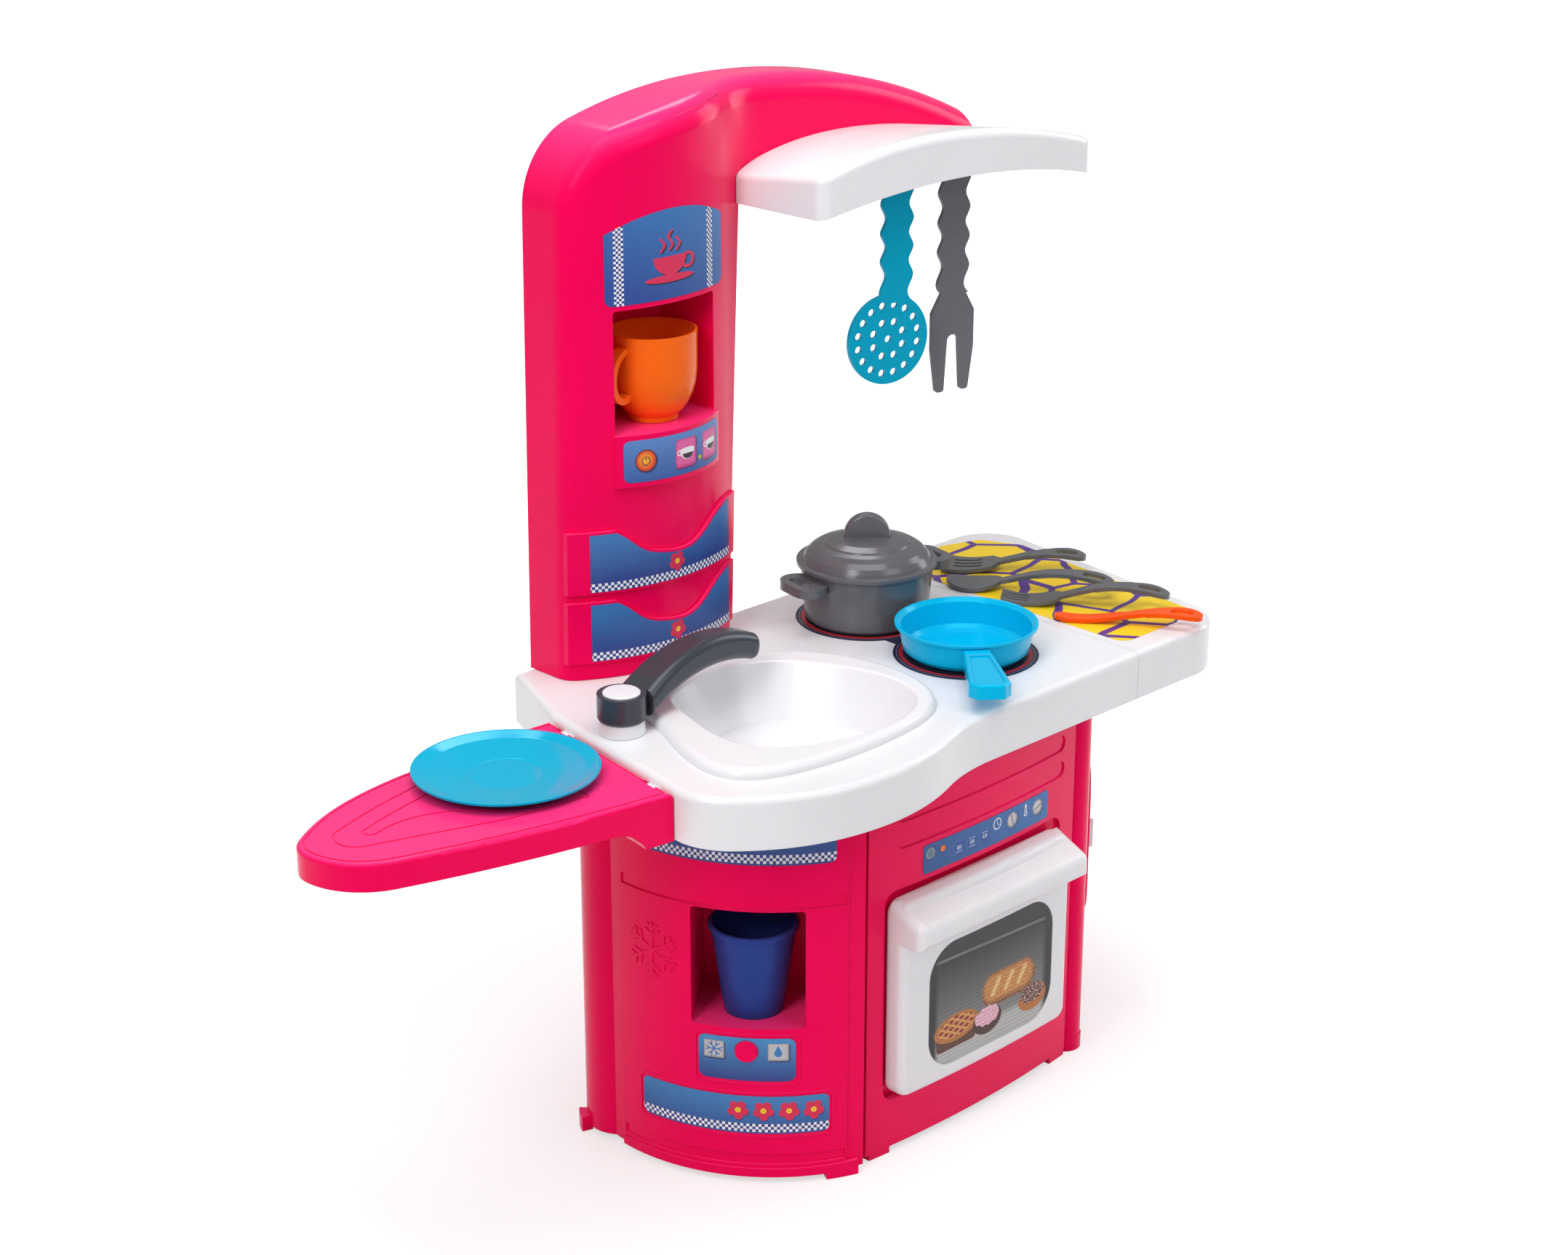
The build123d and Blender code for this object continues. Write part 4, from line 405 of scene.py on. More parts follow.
# ------------------------------------------------------------------------------ prints
class Sheet:
    """The face of one sticker: u runs to the right and v upwards, in millimetres."""

    def __init__(self, tree: Tree, u: Value, v: Value) -> None:
        """Starts a drawing.

        Args:
            tree: The sticker's material.
            u: The run along the sticker from its middle.
            v: The height on the sticker from its middle.
        """
        self.tree = tree
        self.u = u
        self.v = v
        self.point = tree.joined(u, v)
        self.ink: Ink = Paint.INK_BLUE.value

    def shade(self, share: Amount, under: Colour, over: Colour) -> None:
        """Lays the ground as a blend of two inks."""
        self.ink = self.tree.mix(share, under, over)

    def lay(self, cover: Amount, tint: Ink) -> None:
        """Prints an ink where the cover is 1."""
        self.ink = self.tree.mix(cover, self.ink, tint)

    def offset(self, centre: Spot) -> Value:
        """The vector from a centre to the point."""
        return self.tree.vector("SUBTRACT", self.point, (centre[0], centre[1], 0.0))

    def disc(self, centre: Spot, radius: float) -> Value:
        """The distance outside a disc."""
        there = (centre[0], centre[1], 0.0)
        return self.tree.vector("DISTANCE", self.point, there, number=True) - radius

    def oval(self, centre: Spot, wide: float, high: float) -> Value:
        """The distance outside an oval, nearly."""
        away = self.tree.vector("MULTIPLY", self.offset(centre), (1.0, wide / high, 0.0))
        return self.tree.vector("LENGTH", away, number=True) - wide

    def box(self, centre: Spot, half: Spot,
            corner: float = 0.0) -> Value:
        """The distance outside a box with round corners."""
        away = self.tree.vector("ABSOLUTE", self.offset(centre))
        past = self.tree.vector("SUBTRACT", away, (half[0] - corner, half[1] - corner, 0.0))
        clear = self.tree.vector("MAXIMUM", past, (0.0, 0.0, 0.0))
        return self.tree.vector("LENGTH", clear, number=True) - max(corner, 0.02)

    def bar(self, start: Spot, end: Spot, width: float) -> Value:
        """The distance outside a round-ended bar."""
        run = (end[0] - start[0], end[1] - start[1], 0.0)
        length = run[0] ** 2 + run[1] ** 2
        away = self.offset(start)
        along = self.tree.vector("DOT_PRODUCT", away, run, number=True) / length
        foot = self.tree.node("ShaderNodeVectorMath", {"operation": "SCALE"},
                              {0: run, "Scale": along.clamped()})
        return self.tree.vector("DISTANCE", away, foot, number=True) - width / 2

    def polar(self, centre: Spot) -> Tuple[Value, Value]:
        """The distance from a centre and the angle about it."""
        away = self.offset(centre)
        x, y, _ = self.tree.parts(away)
        return self.tree.vector("LENGTH", away, number=True), y.angle_from(x)

    def checks(self, low: float, square: float, rows: int, along: Optional[Value] = None,
               up: Optional[Value] = None) -> None:
        """Prints a band of white and navy squares.

        Args:
            low: Where the band starts.
            square: The size of one square.
            rows: How many rows there are.
            along: The run that the squares follow, if not u.
            up: The height that the rows follow, if not v.
        """
        run = self.u if along is None else along
        rise = self.v if up is None else up
        place = self.tree.joined(run, rise - low, square * 0.5)
        pattern = self.tree.node("ShaderNodeTexChecker", None,
                                 {"Vector": place, "Color1": Paint.INK_WHITE.value,
                                  "Color2": Paint.INK_NAVY.value, "Scale": 1.0 / square})
        half = square * rows / 2
        band = abs(rise - (low + half)) - half
        self.lay(band.mask(), pattern)

    def flower(self, centre: Spot, size: float, petals: int = 5) -> None:
        """Prints a flower: a round wave of petals with a dark shadow and a yellow eye."""
        for shift, tint, grow in (((0.5, -0.7), Paint.INK_NAVY.value, 1.02),
                                  ((0.0, 0.0), Paint.INK_RED.value, 1.0)):
            radius, angle = self.polar((centre[0] + shift[0], centre[1] + shift[1]))
            wave = abs((angle * (petals / 2) + 0.6).cosine()).root() * 0.4 + 0.58
            self.lay((radius - wave * (size * grow)).mask(0.3), tint)
        self.lay(self.disc(centre, size * 0.26).mask(0.3), Paint.INK_YELLOW.value)
        self.lay(self.disc(centre, size * 0.12).mask(0.5), colour(222, 170, 20))

    def frost(self, centre: Spot, size: float, tint: Colour) -> None:
        """Prints a six-armed frost star: one arm with two twigs, folded round six times."""
        radius, angle = self.polar(centre)
        turn = math.pi / 6
        folded = abs(angle.wrapped(turn, -turn))
        run = radius * folded.cosine()
        rise = radius * folded.sine()
        arm = (rise - 0.09 * size).high(run - size)
        slope = run * 0.5 - rise * 0.866
        twig = (abs(slope - 0.3 * size) - 0.07 * size).high(rise - 0.36 * size)
        self.lay(arm.low(twig).mask(0.15), tint)

    def drop(self, centre: Spot, size: float, tint: Colour) -> None:
        """Prints a water drop: a disc whose top draws in to a point."""
        away = self.offset(centre)
        x, y, _ = self.tree.parts(away)
        round_end = self.disc((centre[0], centre[1] - size * 0.3), size * 0.55)
        point = (abs(x) + (y + size * 0.02) * 0.5 - size * 0.5).high(-(y + size * 0.05))
        self.lay(round_end.low(point).mask(0.2), tint)

    def knob(self, centre: Spot, turn: float) -> None:
        """Prints a knob with a pointer, in a round of dial marks."""
        x, y = centre
        radius, angle = self.polar(centre)
        step = math.pi / 6
        folded = abs(angle.wrapped(step / 2, -step / 2)) * radius - 0.28
        marks = folded.high(abs(radius - 9.6) - 1.3)
        self.lay(marks.mask(0.25), Paint.INK_BLACK.value)
        self.lay(self.disc((x + 0.5, y - 0.5), 6.9).mask(0.8), colour(24, 40, 84))
        self.lay(self.disc(centre, 6.6).mask(), colour(150, 144, 148))
        self.lay(self.disc((x - 0.6, y + 0.6), 5.4).mask(1.6), colour(206, 200, 202))
        across, up = 5.6 * math.cos(turn + 1.2), 5.6 * math.sin(turn + 1.2)
        pointer = self.bar((x - across, y - up), (x + across, y + up), 0.9)
        self.lay(pointer.mask(), colour(62, 58, 64))

    def film(self, gloss: float = 0.3) -> Material:
        """Turns the drawing into a printed film, faintly dotted, uneven and creased."""
        place = self.tree.place()
        cloud = self.tree.noise(place, 45.0, 3.0, 0.6)
        dots = self.tree.noise(place, 2600.0, 1.0, 0.5)
        tint = self.tree.mix(dots * 0.03, self.ink, Paint.INK_WHITE.value)
        normal = self.tree.bump(cloud, 1.0, 0.00012)
        return self.tree.finish(Base_Color=tint, Roughness=gloss + (cloud - 0.5) * 0.12,
                                Normal=normal, IOR=1.38)


@dataclass(frozen=True)
class Wrap:
    """A sticker that follows an upright round wall.

    Attributes:
        centre: The wall's axis in plan.
        radius: The wall's radius.
        angle: Where the sticker's middle lies round the axis, in degrees.
    """

    centre: Spot
    radius: float
    angle: float

    def sheet(self, tree: Tree, middle: float) -> Sheet:
        """The sticker's face: u is the arc from the middle, the angle times the radius.

        Args:
            tree: The sticker's material.
            middle: The height of the sticker's middle.

        Returns:
            The face.
        """
        x, y, z = tree.parts(tree.place())
        turn = (y - self.centre[1]).angle_from(x - self.centre[0])
        arc = (turn - math.radians(self.angle)).wrapped(math.pi, -math.pi)
        return Sheet(tree, arc * (self.radius / MM), (z - middle) * (1 / MM))


@dataclass(frozen=True)
class Front:
    """A sticker drawn as it looks from the front: u is X and v is Z."""

    centre: float

    def sheet(self, tree: Tree, middle: float) -> Sheet:
        """The sticker's face."""
        x, _, z = tree.parts(tree.place())
        return Sheet(tree, (x - self.centre) * (1 / MM), (z - middle) * (1 / MM))


@dataclass(frozen=True)
class Flat:
    """A sticker that lies flat: u is X and v is Y."""

    centre: Spot

    def sheet(self, tree: Tree, middle: float) -> Sheet:
        """The sticker's face."""
        x, y, _ = tree.parts(tree.place())
        return Sheet(tree, (x - self.centre[0]) * (1 / MM), (y - self.centre[1]) * (1 / MM))


# ------------------------------------------------------------------------------ assemblies
@dataclass
class Finishes:
    """The finishes that several assemblies share, each built once."""

    pink: Material = field(init=False)
    white: Material = field(init=False)
    grey: Material = field(init=False)
    dark_grey: Material = field(init=False)
    steel: Material = field(init=False)

    def __post_init__(self) -> None:
        """Builds the shared materials."""
        # The pink's upward faces get painted light from above.
        self.pink = MouldedPlastic("pink_plastic", Paint.PINK.value, 0.17, 0.0005,
                                   index=1.4, painted_top_light=Paint.PINK_PAINTED_TOP_LIGHT.value).material()
        self.white = MouldedPlastic("white_plastic", Paint.WHITE.value, 0.24, 0.0005,
                                    glow=0.05).material()
        self.grey = MouldedPlastic("grey_plastic", Paint.GREY.value, 0.2).material()
        self.dark_grey = MouldedPlastic("dark_grey_plastic", Paint.DARK_GREY.value,
                                        0.26).material()
        self.steel = PlatedSteel().material()


def dress(material: Material, *nodes: str) -> None:
    """Gives CAD pieces a finish through their material slots.

    Args:
        material: The finish.
        nodes: The pieces' names.
    """
    for node in nodes:
        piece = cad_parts[node]
        for place in piece.material_slots:
            place.material = material
        log.info("%s dressed in %s", node, material.name)


def middle_height(node: str) -> float:
    """The height of the middle of a CAD piece."""
    low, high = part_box(node)
    return (low[2] + high[2]) / 2


def middle_plan(node: str) -> Spot:
    """The middle of a CAD piece in plan."""
    low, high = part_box(node)
    return ((low[0] + high[0]) / 2, (low[1] + high[1]) / 2)


@dataclass
class Assembly:
    """One sub-assembly, which wears the shared finishes and its own."""

    finishes: Finishes

    def build(self) -> None:
        """Dresses the sub-assembly's pieces."""
        raise NotImplementedError


@dataclass
class FridgeSide(Assembly):
    """The round corner with the drink niche and its three stickers."""

    axis: Spot = (0.01235, 0.00802)
    radius: float = 0.164
    top_angle: float = -145.0
    button_angle: float = -141.9
    lower_angle: float = -146.3

    def top_print(self) -> Material:
        """The film over the niche: a plain blue band edged with checks."""
        tree = Tree("fridge_top_print")
        sheet = Wrap(self.axis, self.radius, self.top_angle).sheet(
            tree, middle_height("fridge_top_sticker"))
        sheet.shade((sheet.v * 0.03 + 0.5).clamped(), Paint.INK_NAVY.value,
                    Paint.INK_BLUE.value)
        sheet.checks(-16.4, 2.5, 3)
        return sheet.film()

    def button_print(self) -> Material:
        """The film round the button: a frost star and a water drop on grey keys."""
        tree = Tree("dispenser_print")
        sheet = Wrap(self.axis, self.radius, self.button_angle).sheet(
            tree, middle_height("dispenser_sticker"))
        sheet.shade((sheet.v * 0.028 + 0.5).clamped(), Paint.INK_NAVY.value,
                    Paint.INK_SKY.value)
        for across in (-26.0, 25.4):
            sheet.lay(sheet.box((across + 0.7, 6.2), (8.6, 7.9), 1.0).mask(0.6),
                      colour(18, 34, 84))
            sheet.lay(sheet.box((across, 7.0), (8.4, 7.7), 0.8).mask(),
                      colour(150, 150, 158))
            sheet.lay(sheet.box((across - 0.4, 7.4), (7.4, 6.7), 0.5).mask(),
                      Paint.INK_SILVER.value)
        sheet.frost((-26.2, 7.2), 5.6, colour(48, 110, 176))
        sheet.drop((25.2, 7.6), 5.6, colour(48, 118, 182))
        return sheet.film()

    def lower_print(self) -> Material:
        """The film at the foot: four flowers in a row over checks."""
        tree = Tree("flower_print")
        sheet = Wrap(self.axis, self.radius, self.lower_angle).sheet(
            tree, middle_height("flower_sticker"))
        sheet.shade((sheet.v * 0.028 + 0.5).clamped(), colour(30, 74, 146),
                    colour(56, 128, 188))
        sheet.checks(-15.4, 2.45, 3)
        for across in (5.6, 26.0, 46.4, 66.2):
            sheet.flower((across, 3.8), 8.8)
        return sheet.film()

    def build(self) -> None:
        """Dresses the panel and its stickers."""
        dress(self.finishes.pink, "fridge_front_panel")
        dress(self.top_print(), "fridge_top_sticker")
        dress(self.button_print(), "dispenser_sticker")
        dress(self.lower_print(), "flower_sticker")


@dataclass
class OvenSide(Assembly):
    """The oven panel, its drop-down door, the liner and the control sticker."""

    control_centre: float = 0.10735
    window_centre: float = 0.09985

    def control_print(self) -> Material:
        """The film over the door: a start key, a lamp, three heat keys and two knobs."""
        tree = Tree("oven_control_print")
        sheet = Front(self.control_centre).sheet(tree, middle_height("oven_control_sticker"))
        sheet.shade((sheet.u * 0.006 + 0.5).clamped(), Paint.INK_DEEP_BLUE.value,
                    colour(46, 112, 180))
        self._start_key(sheet, (-70.0, 4.0))
        sheet.lay(sheet.disc((-56.0, 4.0), 3.2).mask(), colour(96, 40, 20))
        sheet.lay(sheet.disc((-56.0, 4.0), 2.6).mask(0.8), colour(255, 118, 24))
        for number, across in enumerate((-37.0, -21.5, -6.0)):
            self._heat_key(sheet, (across, -1.2), number)
        self._clock(sheet, (9.5, 4.4))
        for across, turn in ((29.0, 0.7), (63.0, -0.9)):
            sheet.knob((across, 1.4), turn)
        self._thermometer(sheet, (46.6, 4.4))
        return sheet.film()

    @staticmethod
    def _start_key(sheet: Sheet, centre: Spot) -> None:
        """A round key with a diamond and a stroke."""
        sheet.lay(sheet.disc(centre, 5.6).mask(), colour(30, 52, 96))
        sheet.lay(sheet.disc(centre, 5.0).mask(0.4), colour(128, 150, 168))
        away = sheet.tree.vector("ABSOLUTE", sheet.offset(centre))
        reach = sheet.tree.vector("DOT_PRODUCT", away, (1.25, 0.9, 0.0), number=True)
        sheet.lay((abs(reach - 3.3) - 0.4).mask(), Paint.INK_BLACK.value)
        stroke = ((centre[0], centre[1] - 1.4), (centre[0], centre[1] + 1.4))
        sheet.lay(sheet.bar(*stroke, 0.9).mask(), Paint.INK_BLACK.value)

    @staticmethod
    def _heat_key(sheet: Sheet, centre: Spot, number: int) -> None:
        """A square key with heat marks, and a bar under or over them."""
        x, y = centre
        sheet.lay(sheet.box((x + 0.5, y - 0.6), (6.2, 6.0), 1.2).mask(0.5), colour(20, 40, 92))
        sheet.lay(sheet.box(centre, (6.2, 6.0), 1.2).mask(), colour(72, 118, 190))
        sheet.lay(sheet.box(centre, (5.7, 5.5), 1.0).mask(), colour(40, 82, 160))
        pale = colour(206, 220, 240)
        for step in (-1.9, 0.0, 1.9):
            mark = sheet.bar((x + step, y - 1.4), (x + step, y + 1.4), 0.9)
            sheet.lay(mark.mask(0.3), pale)
        for rise, skipped in ((-3.6, 2), (3.6, 0)):
            if number != skipped:
                line = sheet.bar((x - 3.6, y + rise), (x + 3.6, y + rise), 0.5)
                sheet.lay(line.mask(), pale)

    @staticmethod
    def _clock(sheet: Sheet, centre: Spot) -> None:
        """A clock face with two hands."""
        x, y = centre
        ring = abs(sheet.disc(centre, 4.6)) - 0.5
        sheet.lay(ring.mask(), Paint.INK_WHITE.value)
        hands = sheet.bar((x, y), (x, y + 3.2), 0.6).low(sheet.bar((x, y), (x + 2.4, y - 1.4), 0.6))
        sheet.lay(hands.mask(), Paint.INK_WHITE.value)

    @staticmethod
    def _thermometer(sheet: Sheet, centre: Spot) -> None:
        """A small thermometer."""
        x, y = centre
        glass = sheet.bar((x, y - 2.0), (x, y + 4.0), 2.4).low(sheet.disc((x, y - 3.4), 2.2))
        sheet.lay(glass.mask(), Paint.INK_WHITE.value)
        level = sheet.bar((x, y - 3.0), (x, y + 1.6), 0.8).low(sheet.disc((x, y - 3.4), 1.2))
        sheet.lay(level.mask(), colour(52, 100, 170))

    def window_print(self) -> Material:
        """The film in the door: baking on a wire shelf in a dark oven."""
        tree = Tree("oven_window_print")
        sheet = Front(self.window_centre).sheet(tree, middle_height("oven_window_print"))
        sheet.shade((sheet.v * 0.011 + 0.62).clamped(), colour(150, 150, 150), colour(52, 52, 54))
        sheet.lay((sheet.v + 34.0).mask(7.0), colour(188, 188, 186))
        sheet.lay((abs(sheet.v - 38.0 + sheet.u * 0.04) - 1.2).mask(0.8), colour(120, 120, 122))
        sheet.lay((66.0 - abs(sheet.u)).mask(6.0), colour(40, 40, 42))
        self._loaf(sheet, (22.0, -8.0))
        self._pie(sheet, (-42.0, -25.0))
        self._bun(sheet, (-4.0, -33.0), colour(70, 38, 26), colour(238, 176, 196))
        self._bun(sheet, (52.0, -32.0), colour(190, 116, 52), colour(112, 60, 34))
        wires = abs(sheet.v.wrapped(1.75, -1.75)) - 0.32
        sheet.lay(wires.mask(0.3) * 0.42, colour(34, 32, 32))
        return sheet.film(0.2)

    @staticmethod
    def _speckle(sheet: Sheet, scale: float, size: float) -> Value:
        """Scattered round crumbs."""
        cells = sheet.tree.node("ShaderNodeTexVoronoi", {"voronoi_dimensions": "2D"},
                                {"Vector": sheet.point, "Scale": scale}, output="Distance")
        return (cells - size).mask(0.1)

    def _loaf(self, sheet: Sheet, centre: Spot) -> None:
        """A long loaf with three cuts."""
        x, y = centre
        body = sheet.box((x, y), (33.0, 15.0), 14.5)
        sheet.lay(body.mask(0.4), colour(128, 70, 28))
        sheet.lay(sheet.box((x - 0.6, y + 1.6), (30.6, 12.4), 12.0).mask(5.0),
                  colour(206, 134, 62))
        for across in (-16.0, 0.0, 16.0):
            cut = sheet.bar((x + across - 4.0, y - 4.0), (x + across + 4.0, y + 8.0), 4.6)
            sheet.lay(cut.mask(1.6), colour(238, 196, 132))
        sheet.lay(self._speckle(sheet, 0.32, 0.16) * body.mask(0.4) * 0.5, colour(250, 226, 170))

    def _pie(self, sheet: Sheet, centre: Spot) -> None:
        """A round pie in a fluted case, with a lattice over a red filling."""
        x, y = centre
        case = sheet.box((x, y - 9.5), (24.0, 8.5), 5.0)
        flutes = abs(sheet.u.wrapped(1.9, -1.9)) - 0.7
        sheet.lay(case.mask(0.4), colour(98, 56, 34))
        sheet.lay(case.mask(0.4) * flutes.mask(0.6) * 0.6, colour(64, 34, 22))
        crust = sheet.oval((x, y), 27.0, 12.5)
        sheet.lay(crust.mask(0.4), colour(188, 118, 52))
        filling = sheet.oval((x, y + 0.6), 22.6, 9.4).mask(0.5)
        sheet.lay(filling, colour(148, 24, 36))
        slant = (sheet.u - x) * 0.5
        for lean in (slant + (sheet.v - y), slant - (sheet.v - y)):
            bars = (abs(lean.wrapped(3.1, -3.1)) - 1.15).mask(0.5)
            sheet.lay(bars * filling, colour(222, 158, 84))

    def _bun(self, sheet: Sheet, centre: Spot, dough: Colour,
             icing: Colour) -> None:
        """A round bun with icing and crumbs."""
        x, y = centre
        body = sheet.oval((x, y), 17.5, 12.5)
        sheet.lay(body.mask(0.4), dough)
        top = sheet.oval((x, y + 3.8), 15.0, 8.6)
        wave = (sheet.u * 0.8).sine() * 0.9
        cover = (top + wave).mask(0.5)
        sheet.lay(cover, icing)
        sheet.lay(cover * self._speckle(sheet, 0.42, 0.2), Paint.INK_WHITE.value)

    def build(self) -> None:
        """Dresses the panel, the door and their films."""
        dress(self.finishes.pink, "oven_front_panel")
        dress(self.finishes.grey, "oven_cavity")
        dress(self.finishes.white, "oven_door")
        dress(self.window_print(), "oven_window_print")
        dress(self.control_print(), "oven_control_sticker")


@dataclass
class WasherSide(Assembly):
    """The washing machine end: its panel, porthole and sticker."""

    axis: Spot = (0.16635, 0.00602)
    radius: float = 0.158
    angle: float = -26.0

    def sticker_print(self) -> Material:
        """The film over the porthole: a lamp, three keys and a dial over checks."""
        tree = Tree("washer_print")
        sheet = Wrap(self.axis, self.radius, self.angle).sheet(
            tree, middle_height("washer_sticker"))
        sheet.shade((sheet.v * 0.03 + 0.5).clamped(), Paint.INK_DEEP_BLUE.value,
                    colour(50, 120, 184))
        sheet.checks(-12.2, 2.3, 2)
        sheet.knob((40.0, 2.6), 0.4)
        for across in (-12.0, 2.0, 16.0):
            sheet.lay(sheet.box((across, 3.0), (4.6, 4.6), 1.2).mask(), colour(206, 214, 226))
            sheet.lay(sheet.disc((across, 3.0), 2.2).mask(), colour(52, 106, 172))
        sheet.lay(sheet.disc((-34.0, 3.0), 5.4).mask(), colour(34, 46, 90))
        sheet.lay(sheet.disc((-34.0, 3.0), 4.6).mask(0.6), colour(242, 120, 30))
        return sheet.film()

    def build(self) -> None:
        """Dresses the panel, the porthole and the sticker."""
        dress(self.finishes.pink, "washer_side_panel")
        dress(self.finishes.white, "washer_door")
        dress(ClearPlastic().material(), "washer_window")
        dress(self.finishes.steel, "washer_hinge_pin", "back_screws")
        dress(self.sticker_print(), "washer_sticker")
        dress(self.finishes.pink, "back_panel", "base_deck")


@dataclass
class Worktop(Assembly):
    """The sink worktop, its extension, the hob and the patterned film."""

    pot_centre: Spot = (0.18535, 0.06902)
    pan_centre: Spot = (0.18035, -0.05098)
    cell: float = 50.0

    def hob_print(self) -> Material:
        """The hob's film: two dark plates, each with a red ring, and lamps between them."""
        tree = Tree("hob_print")
        middle = middle_plan("hob_sticker")
        sheet = Flat(middle).sheet(tree, 0.0)
        sheet.ink = colour(36, 34, 70)
        for centre in (self.pot_centre, self.pan_centre):
            there = ((centre[0] - middle[0]) / MM, (centre[1] - middle[1]) / MM)
            sheet.lay(sheet.disc(there, 60.0).mask(), colour(28, 26, 44))
            sheet.lay((abs(sheet.disc(there, 54.5)) - 1.6).mask(0.8), colour(196, 26, 40))
            sheet.lay((abs(sheet.disc(there, 58.0)) - 0.35).mask(0.2), colour(120, 116, 150))
            sheet.lay((abs(sheet.disc(there, 36.0)) - 5.0).mask(4.0), colour(120, 24, 34))
        for across, tint in ((-12.0, colour(176, 24, 110)), (12.0, colour(240, 140, 30))):
            sheet.lay(sheet.disc((across + 22.0, 0.0), 5.0).mask(), tint)
        return sheet.film(0.24)

    def pattern_print(self) -> Material:
        """The extension's film: yellow cells in a purple net, the edges of random cells."""
        tree = Tree("extension_print")
        sheet = Flat(middle_plan("extension_sticker")).sheet(tree, 0.0)
        bent = tree.noise(tree.place(), 22.0, 1.0, 0.4) * 9.0
        place = tree.joined(sheet.u * 0.8 + bent, sheet.v * 0.78 - bent, 7.0)
        edges = tree.node("ShaderNodeTexVoronoi",
                          {"voronoi_dimensions": "3D", "feature": "DISTANCE_TO_EDGE"},
                          {"Vector": place, "Scale": 1.0 / self.cell, "Randomness": 0.8})
        sheet.ink = Paint.INK_YELLOW.value
        sheet.lay((edges * self.cell - 2.2).mask(0.5), Paint.INK_PURPLE.value)
        return sheet.film(0.28)

    def build(self) -> None:
        """Dresses the tops and their films."""
        dress(self.finishes.white, "sink_worktop", "worktop_extension")
        dress(self.hob_print(), "hob_sticker")
        dress(self.pattern_print(), "extension_sticker")


